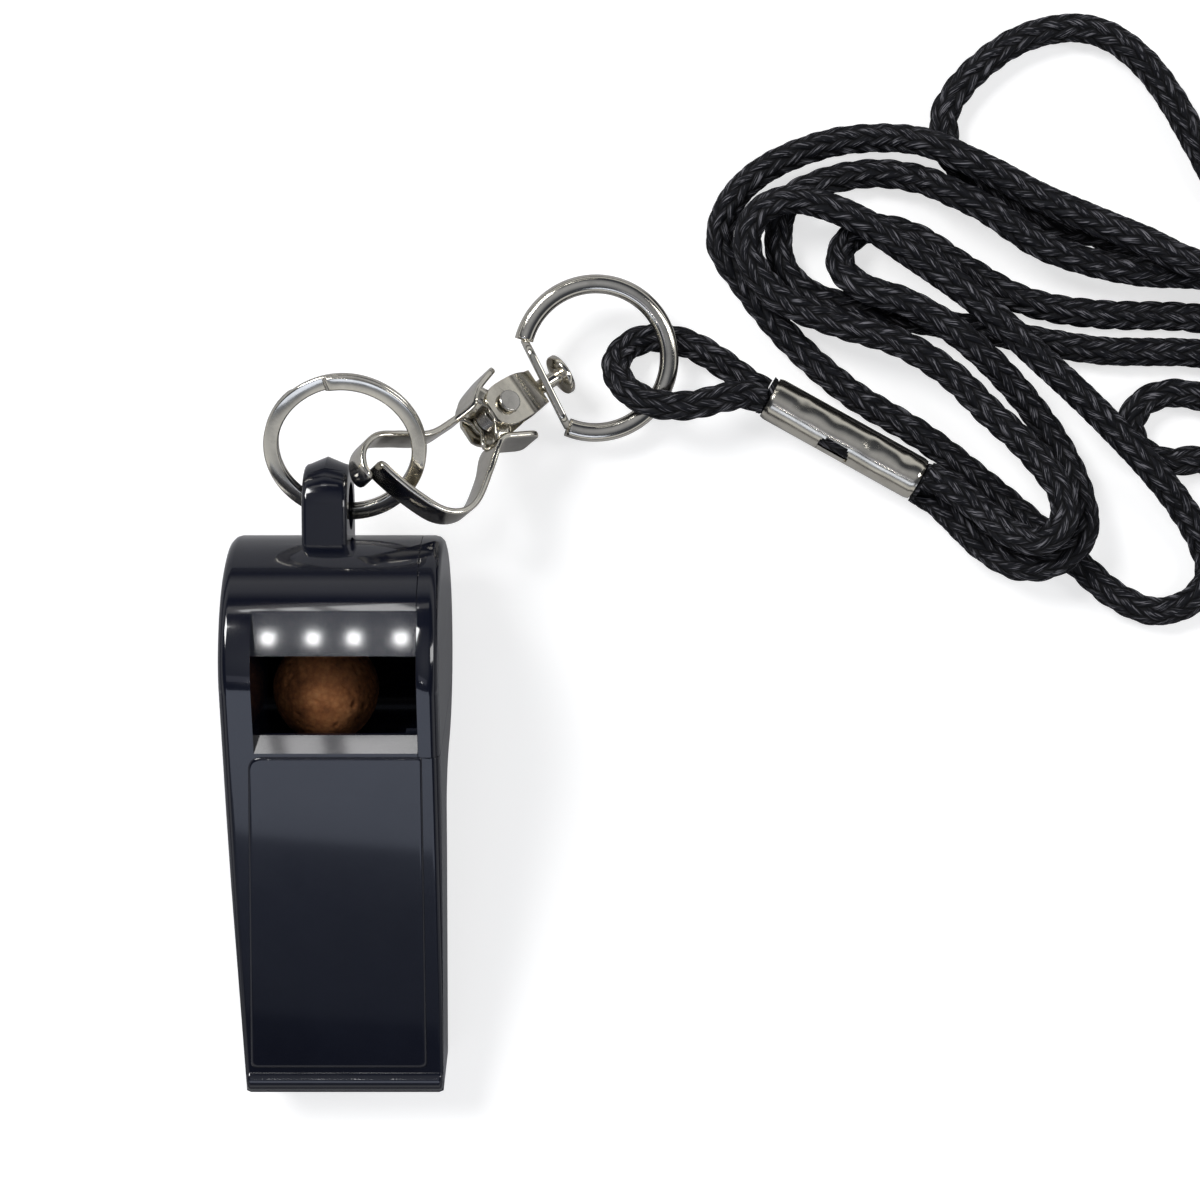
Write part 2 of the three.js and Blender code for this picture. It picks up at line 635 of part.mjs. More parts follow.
const clipAlong = new THREE.Vector3(
  Math.cos(clipSlope) * Math.cos(clipHeading),
  Math.cos(clipSlope) * Math.sin(clipHeading),
  Math.sin(clipSlope),
);
const clipUp = new THREE.Vector3(
  -Math.sin(clipSlope) * Math.cos(clipHeading),
  -Math.sin(clipSlope) * Math.sin(clipHeading),
  Math.cos(clipSlope),
);

function clip() {
  const group = new THREE.Group();
  group.add(jaw('jaw_left', leftJawLine, outerEarOffset));
  group.add(jaw('jaw_right', rightJawLine, innerEarOffset));
  group.add(bail());
  group.add(rivet());
  group.add(jawSpring());
  group.add(swivelStud());
  const side = new THREE.Vector3().crossVectors(clipUp, clipAlong);
  const turn = new THREE.Matrix4().makeBasis(clipAlong, side, clipUp);
  group.quaternion.setFromRotationMatrix(turn);
  group.position.copy(clipPivot);
  return group;
}

// D-ring, in its own frame: X away from the clip, Z up; its base plate turns on the stud

function dRing() {
  const chordAngle = Math.PI - Math.acos(dPlateOffset / dArcRadius);
  const points = [];
  const steps = 26;
  for (let i = 0; i <= steps; i += 1) {
    const angle = -chordAngle + (2 * chordAngle * i) / steps;
    points.push(new THREE.Vector3(dArcRadius * Math.cos(angle), dArcRadius * Math.sin(angle), 0));
  }
  const arc = tube(new RoutePath(points, false, 'centripetal'), dWireRadius, 8, steps);
  const plateShape = new THREE.Shape();
  const halfLength = dPlateLength / 2;
  const halfWide = dPlateWidth / 2;
  const corner = 1.9;
  plateShape.moveTo(-halfLength + corner, -halfWide);
  plateShape.lineTo(halfLength - corner, -halfWide);
  plateShape.quadraticCurveTo(halfLength, -halfWide, halfLength, 0);
  plateShape.quadraticCurveTo(halfLength, halfWide, halfLength - corner, halfWide);
  plateShape.lineTo(-halfLength + corner, halfWide);
  plateShape.quadraticCurveTo(-halfLength, halfWide, -halfLength, 0);
  plateShape.quadraticCurveTo(-halfLength, -halfWide, -halfLength + corner, -halfWide);
  const from = -dPlateOffset - dPlateThickness / 2;
  const plate = acrossX(plateShape, from, from + dPlateThickness, 0, 8);
  const hole = rod(dPlateHoleRadius, 'x', from - 1, from + dPlateThickness + 1, 24);
  const solid = arc.add(plate).subtract(hole);
  const mesh = piece('d_ring', solid, brightNickel);
  const far = new THREE.Vector3(Math.cos(dHeading), Math.sin(dHeading), 0);
  const left = new THREE.Vector3(
    -Math.cos(dRoll) * Math.sin(dHeading),
    Math.cos(dRoll) * Math.cos(dHeading),
    Math.sin(dRoll),
  );
  const turn = new THREE.Matrix4().makeBasis(far, left, new THREE.Vector3().crossVectors(far, left));
  mesh.quaternion.setFromRotationMatrix(turn);
  mesh.position.copy(clipPivot)
    .addScaledVector(clipAlong, -bailNeck - studPlateReach * Math.cos(studLean))
    .addScaledVector(clipUp, studPlateReach * Math.sin(studLean))
    .addScaledVector(far, dPlateOffset);
  return mesh;
}

// Ferrule crimped on the four strands, with a notch that shows the cord

function ferruleFrame(mesh) {
  mesh.position.copy(ferruleLeft);
  mesh.rotation.z = ferruleHeading;
  return mesh;
}

function ferrule() {
  const inner = ferruleRadius - ferruleWall;
  const flare = 0.15;
  const profile = [
    [inner, 0], [ferruleRadius - flare, 0], [ferruleRadius, flare],
    [ferruleRadius, ferruleLength - flare], [ferruleRadius - flare, ferruleLength],
    [inner, ferruleLength], [inner, 0],
  ].map(([radius, along]) => new THREE.Vector2(radius, along));
  const lathe = new THREE.LatheGeometry(profile, 28);
  lathe.rotateZ(-Math.PI / 2);
  const middle = ferruleLength / 2;
  const notch = box(
    middle - ferruleNotchLength / 2, middle + ferruleNotchLength / 2,
    -ferruleRadius - 1, -ferruleRadius + ferruleNotchDepth,
    -ferruleRadius * 0.2, ferruleRadius + 1,
  );
  let solid = toSolid(lathe).subtract(notch);
  [0.27, 0.73].forEach((share) => {
    const at = share * ferruleLength;
    const press = box(
      at - crimpLength / 2, at + crimpLength / 2,
      -ferruleRadius, ferruleRadius,
      ferruleRadius - crimpDepth, ferruleRadius + 1,
    );
    solid = solid.subtract(press);
  });
  return ferruleFrame(piece('cord_ferrule', solid, nickel));
}

function crimpedStrands() {
  const radius = ferruleRadius - ferruleWall - seamGap;
  return ferruleFrame(piece('crimped_strands', rod(radius, 'x', 0, ferruleLength, 12), blackCord));
}

// Cord

function leastSelfGap(path, steps, diameter) {
  const points = path.getPoints(steps);
  const skip = 2.6 * diameter; // neighbours along the cord don't count
  const lengths = [0];
  for (let i = 1; i < points.length; i += 1) lengths.push(lengths[i - 1] + points[i].distanceTo(points[i - 1]));
  let least = Infinity;
  for (let i = 0; i < points.length; i += 1) {
    for (let j = i + 1; j < points.length; j += 1) {
      if (lengths[j] - lengths[i] > skip) least = Math.min(least, points[i].distanceTo(points[j]));
    }
  }
  return { gap: least - diameter, length: lengths[lengths.length - 1] };
}

function neckCord() {
  const path = routePath(neckRoute);
  const found = leastSelfGap(path, 1600, cordDiameter);
  console.log(`neck_cord length ${found.length.toFixed(0)} mm, least gap to itself ${found.gap.toFixed(2)} mm`);
  return piece('neck_cord', tube(path, cordDiameter / 2, 6, neckRoute.length - 1), blackCord);
}

function tieLoop() {
  const path = routePath(tieRoute);
  return piece('tie_loop', tube(path, cordDiameter / 2, 8, 2 * (tieRoute.length - 1)), blackCord);
}

// Assembly: the whistle, ring, clip and D-ring stand on the base plane, centred over it

const group = new THREE.Group();
const hardware = new THREE.Group();
hardware.add(whistle(), splitRing(), clip(), dRing());
hardware.updateMatrixWorld(true);
const bounds = new THREE.Box3().setFromObject(hardware, true);
const centre = bounds.getCenter(new THREE.Vector3());
group.add(hardware, ferrule(), crimpedStrands(), tieLoop(), neckCord());
group.position.set(-centre.x, -centre.y, -bounds.min.z);
console.log(`moved by ${group.position.toArray().map((value) => value.toFixed(3)).join(', ')}`);

export default group;
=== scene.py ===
# Plastic pea whistle, ring, scissor clip and braided neck cord: looks, light and camera.
# Shapes are worked out in millimetres from the point on the table under the chamber's axis,
# as in the CAD source, and moved into the frame by place().

import json
import math

import bmesh
import bpy
import numpy as np
from mathutils import Matrix, Vector, noise

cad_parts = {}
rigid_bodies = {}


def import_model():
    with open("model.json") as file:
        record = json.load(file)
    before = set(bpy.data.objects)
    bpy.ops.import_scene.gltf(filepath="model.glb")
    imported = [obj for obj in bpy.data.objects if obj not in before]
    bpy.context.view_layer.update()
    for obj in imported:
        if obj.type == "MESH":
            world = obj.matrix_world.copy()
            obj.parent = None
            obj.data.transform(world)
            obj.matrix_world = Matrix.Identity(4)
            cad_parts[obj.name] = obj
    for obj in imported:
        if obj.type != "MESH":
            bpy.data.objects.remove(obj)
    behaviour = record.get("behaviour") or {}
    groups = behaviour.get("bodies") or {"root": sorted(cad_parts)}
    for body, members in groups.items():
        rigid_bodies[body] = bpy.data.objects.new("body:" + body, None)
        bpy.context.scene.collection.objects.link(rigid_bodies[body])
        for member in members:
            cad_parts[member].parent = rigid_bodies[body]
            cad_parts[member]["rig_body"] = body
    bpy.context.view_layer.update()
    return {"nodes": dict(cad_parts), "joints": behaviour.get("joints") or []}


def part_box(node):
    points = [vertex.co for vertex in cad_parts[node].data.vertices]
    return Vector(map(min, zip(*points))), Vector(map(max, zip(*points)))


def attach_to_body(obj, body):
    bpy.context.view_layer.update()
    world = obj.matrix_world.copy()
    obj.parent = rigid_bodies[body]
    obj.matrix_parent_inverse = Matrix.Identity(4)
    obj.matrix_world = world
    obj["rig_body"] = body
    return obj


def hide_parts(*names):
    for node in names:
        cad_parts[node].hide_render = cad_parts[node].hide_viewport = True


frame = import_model()

JOINTS = {joint["name"]: joint for joint in frame["joints"]}
BARREL_RADIUS = 10.8
AXIS = Vector(JOINTS["pea_orbit"]["pos_m"]) * 1000
SHIFT = AXIS - Vector((0, 0, BARREL_RADIUS))


def place(point):
    """Working millimetres to the frame's metres."""
    return (Vector(point) + SHIFT) * 0.001


def link_object(name, data):
    ob = bpy.data.objects.new(name, data)
    bpy.context.scene.collection.objects.link(ob)
    return ob


# Camera: straight down, as in the photograph
CAMERA_AT = (24.0, 4.8, 230)
FOCAL_PX, FRAME_PX = 2370, 1200      # focal length and frame width in the photograph's pixels
SENSOR = 36
camera_data = bpy.data.cameras.new("camera")
camera_data.sensor_width = SENSOR
camera_data.lens = SENSOR * FOCAL_PX / FRAME_PX
camera_data.clip_start = 0.01
camera = link_object("camera", camera_data)
camera.location = place(CAMERA_AT)
bpy.context.scene.camera = camera


# Mesh helpers

def add_object(name, verts, faces, material, smooth=True):
    mesh = bpy.data.meshes.new(name)
    mesh.from_pydata([tuple(v) for v in verts], [], faces)
    mesh.update()
    if smooth:
        mesh.polygons.foreach_set("use_smooth", [True] * len(mesh.polygons))
    mesh.materials.append(material)
    return link_object(name, mesh)


def catmull(points, step):
    """Centripetal Catmull-Rom line through the points, at even steps of about this length."""
    p = [Vector(q) for q in points]
    p = [2 * p[0] - p[1]] + p + [2 * p[-1] - p[-2]]
    fine = []
    for i in range(1, len(p) - 2):
        a, b, c, d = p[i - 1:i + 3]
        t0 = 0.0
        t1 = t0 + max((b - a).length, 1e-6) ** 0.5
        t2 = t1 + max((c - b).length, 1e-6) ** 0.5
        t3 = t2 + max((d - c).length, 1e-6) ** 0.5
        for k in range(24):
            t = t1 + (t2 - t1) * k / 24
            a1 = a * ((t1 - t) / (t1 - t0)) + b * ((t - t0) / (t1 - t0))
            a2 = b * ((t2 - t) / (t2 - t1)) + c * ((t - t1) / (t2 - t1))
            a3 = c * ((t3 - t) / (t3 - t2)) + d * ((t - t2) / (t3 - t2))
            b1 = a1 * ((t2 - t) / (t2 - t0)) + a2 * ((t - t0) / (t2 - t0))
            b2 = a2 * ((t3 - t) / (t3 - t1)) + a3 * ((t - t1) / (t3 - t1))
            fine.append(b1 * ((t2 - t) / (t2 - t1)) + b2 * ((t - t1) / (t2 - t1)))
    fine.append(p[-2])
    line = np.array([tuple(v) for v in fine])
    run = np.concatenate([[0], np.cumsum(np.linalg.norm(np.diff(line, axis=0), axis=1))])
    count = max(2, int(round(run[-1] / step)))
    even = np.linspace(0, run[-1], count + 1)
    return np.stack([np.interp(even, run, line[:, k]) for k in range(3)], axis=1), even


def carried_frames(line):
    """Tangent, normal and binormal along a line, turned as little as possible."""
    tangent = np.gradient(line, axis=0)
    tangent /= np.linalg.norm(tangent, axis=1)[:, None]
    normal = np.zeros_like(tangent)
    start = np.array([0.0, 0.0, 1.0])
    start -= tangent[0] * start.dot(tangent[0])
    normal[0] = start / np.linalg.norm(start)
    for i in range(1, len(line)):
        n = normal[i - 1] - tangent[i] * normal[i - 1].dot(tangent[i])
        normal[i] = n / np.linalg.norm(n)
    return tangent, normal, np.cross(tangent, normal)


def tube_faces(rings, sides):
    """Walls between rings of points, then a cap at each end."""
    faces = []
    for i in range(rings - 1):
        a, b = i * sides, (i + 1) * sides
        for j in range(sides):
            k = (j + 1) % sides
            faces.append((a + j, a + k, b + k, b + j))
    faces.append(tuple(reversed(range(sides))))
    faces.append(tuple((rings - 1) * sides + j for j in range(sides)))
    return faces


def mark_creases(bm, angle):
    for edge in bm.edges:
        if edge.is_manifold and edge.calc_face_angle(0) > angle:
            edge.smooth = False


def sort_by_place(bm):
    """Puts the mesh in a fixed order, because a bevel leaves another one each run."""
    for number, vertex in enumerate(sorted(bm.verts, key=lambda v: tuple(v.co))):
        vertex.index = number
    bm.verts.sort()
    for elements in (bm.edges, bm.faces):
        for number, element in enumerate(sorted(elements, key=lambda e: sorted(v.index for v in e.verts))):
            element.index = number
        elements.sort()


def point_outward(ob, crease=None):
    """Turns every face outward. Edges sharper than crease, where it is given, are shaded as creases."""
    bm = bmesh.new()
    bm.from_mesh(ob.data)
    bmesh.ops.recalc_face_normals(bm, faces=bm.faces)
    if crease:
        mark_creases(bm, crease)
    bm.to_mesh(ob.data)
    bm.free()


def even_normals(ob):
    """Shades broad faces flat and the small faces of an edge round."""
    modifier = ob.modifiers.new("even_normals", "WEIGHTED_NORMAL")
    modifier.weight = 90
    return modifier


def smoothstep(share):
    share = min(1.0, max(0.0, share))
    return share * share * (3 - 2 * share)


def attach(ob, body, solid):
    """Rides on the body and stands for the CAD solid, which it hides."""
    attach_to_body(ob, body)
    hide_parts(solid)


# Materials

def new_material(name):
    material = bpy.data.materials.new(name)
    material.use_nodes = True
    tree = material.node_tree
    shader = next(n for n in tree.nodes if n.type == "BSDF_PRINCIPLED")
    return material, tree, shader


def node(tree, kind, **values):
    made = tree.nodes.new(kind)
    for key, value in values.items():
        if key in made.inputs:
            made.inputs[key].default_value = value
        else:
            setattr(made, key, value)
    return made


def noise_node(tree, scale, detail=4.0, rough=0.5, stretch=(1, 1, 1), coord=None):
    place_node = coord or node(tree, "ShaderNodeTexCoord").outputs["Object"]
    mapping = node(tree, "ShaderNodeMapping", Scale=stretch)
    tree.links.new(place_node, mapping.inputs["Vector"])
    made = node(tree, "ShaderNodeTexNoise", Scale=scale, Detail=detail, Roughness=rough)
    tree.links.new(mapping.outputs["Vector"], made.inputs["Vector"])
    return made.outputs["Fac"]


def ramp(tree, source, stops):
    made = node(tree, "ShaderNodeValToRGB")
    elements = made.color_ramp.elements
    while len(elements) < len(stops):
        elements.new(0.5)
    for element, (at, colour) in zip(elements, stops):
        element.position = at
        element.color = (*colour, 1)
    tree.links.new(source, made.inputs["Fac"])
    return made.outputs["Color"]


def spread(tree, source, low, high):
    made = node(tree, "ShaderNodeMapRange")
    made.inputs["To Min"].default_value = low
    made.inputs["To Max"].default_value = high
    tree.links.new(source, made.inputs["Value"])
    return made.outputs["Result"]


def add_bump(tree, shader, heights):
    """heights: (source, strength, distance in metres), chained in order."""
    last = None
    for source, strength, distance in heights:
        bump = node(tree, "ShaderNodeBump", Strength=strength, Distance=distance)
        tree.links.new(source, bump.inputs["Height"])
        if last:
            tree.links.new(last, bump.inputs["Normal"])
        last = bump.outputs["Normal"]
    tree.links.new(last, shader.inputs["Normal"])


def plastic():
    """Dark blue-black moulded plastic: soft flow marks, fine grain, worn gloss and hairline scratches."""
    material, tree, shader = new_material("black_plastic")
    patches = noise_node(tree, 90, 4)
    colour = ramp(tree, patches, [(0.3, (0.0033, 0.0042, 0.0098)), (0.7, (0.0050, 0.0062, 0.0134))])
    tree.links.new(colour, shader.inputs["Base Color"])
    haze = noise_node(tree, 240, 6, 0.65)
    tree.links.new(spread(tree, haze, 0.08, 0.20), shader.inputs["Roughness"])
    flow = noise_node(tree, 75, 2, 0.4, (1.0, 0.3, 1.0))
    grain = noise_node(tree, 2600, 3, 0.6)
    lines = noise_node(tree, 150, 2, 0.4, (9.0, 0.5, 4.0))
    scratch = ramp(tree, lines, [(0.70, (0, 0, 0)), (0.74, (1, 1, 1))])
    add_bump(tree, shader, [(flow, 0.20, 0.0004), (scratch, 0.10, 0.00003), (grain, 0.05, 0.00004)])
    shader.inputs["IOR"].default_value = 1.5
    shader.inputs["Specular IOR Level"].default_value = 0.3
    shader.inputs["Coat Weight"].default_value = 0.8
    shader.inputs["Coat Roughness"].default_value = 0.045
    return material


def nickel(name, tone, rough):
    """Plated metal: warm silver with faint stains, polishing lines and small dents."""
    material, tree, shader = new_material(name)
    shader.inputs["Metallic"].default_value = 1.0
    stain = noise_node(tree, 380, 5, 0.6)
    dark = tuple(c * 0.8 for c in tone)
    colour = ramp(tree, stain, [(0.30, dark), (0.55, tone)])
    tree.links.new(colour, shader.inputs["Base Color"])
    scuff = noise_node(tree, 700, 6, 0.7, (1, 1, 0.25))
    tree.links.new(spread(tree, scuff, rough * 0.5, rough * 1.5), shader.inputs["Roughness"])
    wave = noise_node(tree, 260, 2)
    fine = noise_node(tree, 3500, 2, 0.5, (1, 0.2, 1))
    add_bump(tree, shader, [(wave, 0.15, 0.00014), (fine, 0.06, 0.00002)])
    return material


def cork():
    """Reddish-brown cork: fine cells, darker pores."""
    material, tree, shader = new_material("cork")
    mottle = noise_node(tree, 520, 8, 0.72)
    colour = ramp(tree, mottle, [
        (0.30, (0.13, 0.040, 0.011)), (0.48, (0.33, 0.120, 0.036)),
        (0.60, (0.43, 0.175, 0.060)), (0.78, (0.52, 0.26, 0.11)),
    ])
    cells = node(tree, "ShaderNodeTexVoronoi", Scale=2100)
    tree.links.new(node(tree, "ShaderNodeTexCoord").outputs["Object"], cells.inputs["Vector"])
    mix = node(tree, "ShaderNodeMix", data_type="RGBA", blend_type="MULTIPLY", Factor=0.4)
    tree.links.new(colour, mix.inputs["A"])
    pores = ramp(tree, cells.outputs["Distance"], [(0.1, (1, 1, 1)), (0.75, (0.4, 0.35, 0.3))])
    tree.links.new(pores, mix.inputs["B"])
    tree.links.new(mix.outputs["Result"], shader.inputs["Base Color"])
    shader.inputs["Roughness"].default_value = 0.85
    add_bump(tree, shader, [(mottle, 0.35, 0.0002), (cells.outputs["Distance"], 0.3, 0.0001)])
    return material


def math_node(tree, operation, first, second=None):
    made = node(tree, "ShaderNodeMath", operation=operation)
    for slot_index, value in enumerate((first, second)):
        if value is None:
            continue
        if isinstance(value, (int, float)):
            made.inputs[slot_index].default_value = value
        else:
            tree.links.new(value, made.inputs[slot_index])
    return made.outputs[0]


def braid_material():
    """Black yarn, two over and two under. Painted shade darkens the valleys between strands, and painted
    grey highlights (glints) run along each strand's crown.
    """
    material, tree, shader = new_material("cord")
    weave = node(tree, "ShaderNodeUVMap", uv_map="weave")
    apart = node(tree, "ShaderNodeSeparateXYZ")
    tree.links.new(weave.outputs["UV"], apart.inputs["Vector"])
    u, v = apart.outputs["X"], apart.outputs["Y"]

    def calc(operation, first, second=None):
        return math_node(tree, operation, first, second)

    a, b = calc("ADD", u, v), calc("SUBTRACT", u, v)
    row_a, row_b = calc("FLOOR", a), calc("FLOOR", b)
    in_a, in_b = calc("SUBTRACT", a, row_a), calc("SUBTRACT", b, row_b)
    step = calc("FLOORED_MODULO", calc("ADD", row_a, row_b), 4.0)
    under = calc("GREATER_THAN", step, 1.5)

    def choose(if_over, if_under):
        made = node(tree, "ShaderNodeMix", data_type="FLOAT")
        tree.links.new(under, made.inputs["Factor"])
        tree.links.new(if_over, made.inputs["A"])
        tree.links.new(if_under, made.inputs["B"])
        return made.outputs["Result"]

    across = calc("SUBTRACT", choose(in_a, in_b), 0.5)
    float_row = calc("FLOORED_MODULO", step, 2.0)
    along = calc("MULTIPLY", calc("ADD", float_row, choose(in_b, in_a)), 0.5)
    strand = calc("ADD", calc("MULTIPLY", choose(row_a, row_b), 7.13), calc("MULTIPLY", under, 3.71))
    pair = calc("MULTIPLY", calc("FLOOR", calc("MULTIPLY", calc("ADD", row_a, row_b), 0.25)), 2.57)
    identity = calc("ADD", strand, pair)
    rise = calc("SINE", calc("MULTIPLY", along, math.pi))
    squared = calc("MULTIPLY", calc("MULTIPLY", across, across), 3.9)
    dome = calc("SQRT", calc("MAXIMUM", calc("SUBTRACT", 1.0, squared), 0.0))
    height = calc("MULTIPLY", dome, calc("POWER", calc("MAXIMUM", rise, 0.0), 0.55))
    join = node(tree, "ShaderNodeCombineXYZ")
    for axis, value in zip("XYZ", (across, along, identity)):
        tree.links.new(value, join.inputs[axis])
    fibres = noise_node(tree, 1.0, 3, 0.6, (19, 1.3, 1.0), join.outputs["Vector"])
    # painted highlight: grey glints in dashes along each strand, kept to its crown by the height
    glint = noise_node(tree, 1.0, 1, 0.5, (9.0, 1.7, 1.0), join.outputs["Vector"])
    painted_highlight_streak = ramp(tree, glint, [(0.55, (0, 0, 0)), (0.62, (1, 1, 1))])
    painted_highlight_mask = calc("MULTIPLY", painted_highlight_streak, calc("POWER", height, 2.0))
    base = ramp(tree, fibres, [(0.35, (0.0015, 0.0018, 0.0034)), (0.7, (0.0070, 0.0078, 0.0120))])
    # painted shade: the yarn darkens towards the valleys between strands
    shade = node(tree, "ShaderNodeMix", data_type="RGBA", blend_type="MULTIPLY", Factor=1.0)
    tree.links.new(base, shade.inputs["A"])
    tree.links.new(ramp(tree, height, [(0.15, (0.12, 0.12, 0.13)), (0.75, (1, 1, 1))]), shade.inputs["B"])
    mix = node(tree, "ShaderNodeMix", data_type="RGBA")
    tree.links.new(painted_highlight_mask, mix.inputs["Factor"])
    tree.links.new(shade.outputs["Result"], mix.inputs["A"])
    # grey of the painted highlights
    mix.inputs["B"].default_value = (0.175, 0.172, 0.190, 1)
    tree.links.new(mix.outputs["Result"], shader.inputs["Base Color"])
    shader.inputs["Roughness"].default_value = 0.7
    shader.inputs["Specular IOR Level"].default_value = 0.22
    add_bump(tree, shader, [(height, 0.9, 0.00028), (fibres, 0.5, 0.00006)])
    return material


PLASTIC = plastic()
CORK = cork()
NICKEL = nickel("nickel_plate", (0.80, 0.765, 0.68), 0.13)
NICKEL_DULL = nickel("nickel_dull", (0.79, 0.75, 0.65), 0.18)
STEEL = nickel("spring_steel", (0.60, 0.58, 0.54), 0.2)
CORD = braid_material()


# Cords, with the same points as in the CAD source

TIE_ROUTE = [
    [39.9, 24.8, 1.5], [38.1, 25.9, 1.5], [35.8, 27.6, 1.5], [32.7, 29.4, 1.5], [29.4, 30.1, 1.5],
    [26.8, 29.3, 1.8], [25.5, 27.3, 3.1], [26.5, 24.9, 4.8], [29.1, 23.4, 6.0],
    [32.5, 23.2, 6.0], [35.8, 24.0, 5.4], [38.0, 24.3, 4.8], [39.6, 23.8, 4.7],
]
NECK_ROUTE = [
    # upper strand out
    [55.1, 16.7, 4.6], [57.4, 15.4, 4.8], [60.5, 13.0, 5.6], [62.9, 11.0, 6.8],
    [65.4, 10.3, 7.7], [67.3, 11.9, 8.0], [67.4, 14.7, 7.6], [65.9, 17.4, 6.4],
    # left edge of heap
    [63.8, 20.0, 5.4], [61.0, 22.6, 5.0], [57.2, 26.3, 4.9], [52.5, 29.2, 4.9],
    [46.3, 31.2, 4.8], [41.6, 33.2, 4.8], [38.7, 36.2, 4.8], [38.0, 39.2, 4.9], [39.1, 41.6, 5.1],
    # top diagonal
    [42.0, 42.8, 5.2], [47.7, 41.3, 5.2], [53.7, 37.5, 5.2], [60.0, 33.0, 5.2],
    [66.0, 27.5, 5.2], [69.1, 24.7, 5.0], [72.0, 21.9, 4.9], [76.2, 17.4, 5.1],
    # lower right bend
    [79.7, 13.6, 3.2], [82.2, 9.8, 1.7], [82.7, 7.2, 1.6], [81.1, 4.8, 1.6],
    [77.5, 3.7, 1.6], [73.6, 5.3, 1.6], [70.3, 8.1, 1.6],
    # past the ferrule
    [66.4, 11.5, 1.6], [61.6, 15.5, 1.6], [55.3, 20.4, 1.6], [48.1, 24.8, 1.6], [42.3, 29.9, 1.6],
    # outer left bend
    [38.0, 35.2, 1.6], [35.6, 39.2, 1.6], [36.5, 42.9, 1.6], [39.6, 46.1, 1.6], [46.1, 48.8, 1.6],
    # upper edge of heap
    [51.9, 49.2, 2.2], [55.4, 48.2, 4.6], [58.3, 46.8, 5.2], [61.9, 45.1, 5.2],
    [65.5, 43.1, 5.4], [70.2, 40.8, 6.6], [75.0, 38.5, 8.0], [80.1, 36.2, 8.4],
    # first far bend
    [85.9, 37.0, 7.6], [94.5, 39.7, 4.2], [105.9, 41.7, 1.6], [116.5, 39.9, 1.6],
    [123.3, 33.7, 1.6], [124.7, 27.0, 1.6], [121.3, 20.2, 1.6], [114.6, 16.4, 1.6],
    [105.0, 15.3, 1.6], [93.4, 16.3, 1.6], [81.8, 18.3, 1.6],
    # small fold
    [78.5, 18.1, 1.6], [75.9, 19.4, 1.6], [75.1, 21.6, 1.6], [76.2, 23.7, 1.6], [78.7, 24.7, 1.6],
    # second far bend
    [81.8, 24.4, 1.6], [89.5, 22.0, 1.6], [97.2, 19.5, 1.6], [105.9, 18.8, 1.6],
    [113.6, 20.7, 1.6], [118.9, 25.5, 1.6], [119.4, 31.8, 1.6], [115.6, 36.4, 1.6],
    [108.8, 38.0, 1.6], [99.2, 37.6, 1.6], [90.5, 36.6, 1.6], [81.8, 36.6, 1.6],
    # high loop
    [76.4, 38.5, 1.6], [71.2, 40.3, 1.6], [66.5, 41.2, 1.6], [62.9, 43.2, 1.6],
    [59.7, 45.3, 1.6], [57.5, 48.4, 1.6], [57.2, 51.5, 1.6], [58.4, 53.8, 1.6],
    [60.4, 56.0, 1.6], [63.7, 58.4, 1.6], [66.9, 59.6, 1.6], [70.3, 59.9, 1.6],
    [73.3, 59.0, 1.6], [76.4, 56.6, 1.6], [79.0, 53.2, 1.6], [81.8, 48.3, 1.6],
    # third far bend
    [84.2, 44.3, 1.6], [88.3, 42.2, 1.8], [93.9, 43.1, 3.0], [100.5, 44.5, 3.4],
    [107.5, 43.7, 5.0], [113.7, 40.4, 5.0], [115.1, 34.2, 5.0], [114.5, 28.9, 1.8],
    [110.7, 24.6, 1.6], [105.0, 22.2, 1.6], [96.3, 23.5, 1.6], [88.6, 26.3, 1.6],
    # under the heap
    [81.8, 28.5, 1.6], [77.0, 28.7, 1.6], [72.6, 28.8, 1.6], [67.7, 29.5, 1.6],
    [62.5, 30.5, 1.6], [55.8, 31.6, 1.6], [49.1, 32.8, 1.6], [44.2, 34.3, 1.6],
    [41.7, 36.8, 1.6], [41.2, 40.0, 1.6], [42.1, 43.2, 1.6],
    # second row
    [45.4, 45.0, 1.6], [50.2, 45.9, 1.6], [54.7, 45.2, 2.4], [57.8, 43.5, 4.4],
    [60.6, 42.0, 5.0], [63.1, 40.3, 5.0], [65.9, 38.5, 5.0], [70.5, 36.9, 5.0],
    [75.6, 35.9, 5.0], [81.0, 35.6, 5.0],
    # last far bend
    [87.6, 34.2, 4.9], [94.8, 33.4, 3.2], [102.1, 33.8, 1.6], [107.1, 32.8, 1.6],
    [109.2, 29.9, 1.6], [107.1, 26.7, 1.6], [102.1, 25.8, 1.6], [95.3, 27.4, 1.6],
    [88.6, 30.0, 1.6], [81.8, 31.9, 1.6],
    # inner loop
    [72.6, 32.3, 1.6], [67.7, 32.9, 1.6], [64.0, 34.0, 1.6], [58.7, 37.0, 1.6],
    [54.4, 39.7, 1.6], [50.2, 40.6, 1.6], [47.5, 39.0, 2.0], [47.1, 36.6, 3.2],
    [49.0, 34.5, 4.8], [52.9, 33.1, 5.2], [56.7, 31.0, 5.2], [59.9, 28.6, 4.8],
    # lower strand back
    [63.0, 25.8, 3.6], [65.5, 23.1, 2.6], [68.2, 19.2, 2.4], [69.9, 14.8, 3.4],
    [69.9, 11.0, 4.9], [67.2, 8.4, 5.1], [64.0, 8.0, 4.2], [60.9, 9.8, 2.6],
    [58.4, 12.3, 1.8], [56.5, 14.2, 1.5], [54.4, 15.5, 1.5],
]
CORD_RADIUS = 1.4
STRANDS = 8          # in each direction
BRAID_PITCH = 2.2    # along the cord, from one strand to the next
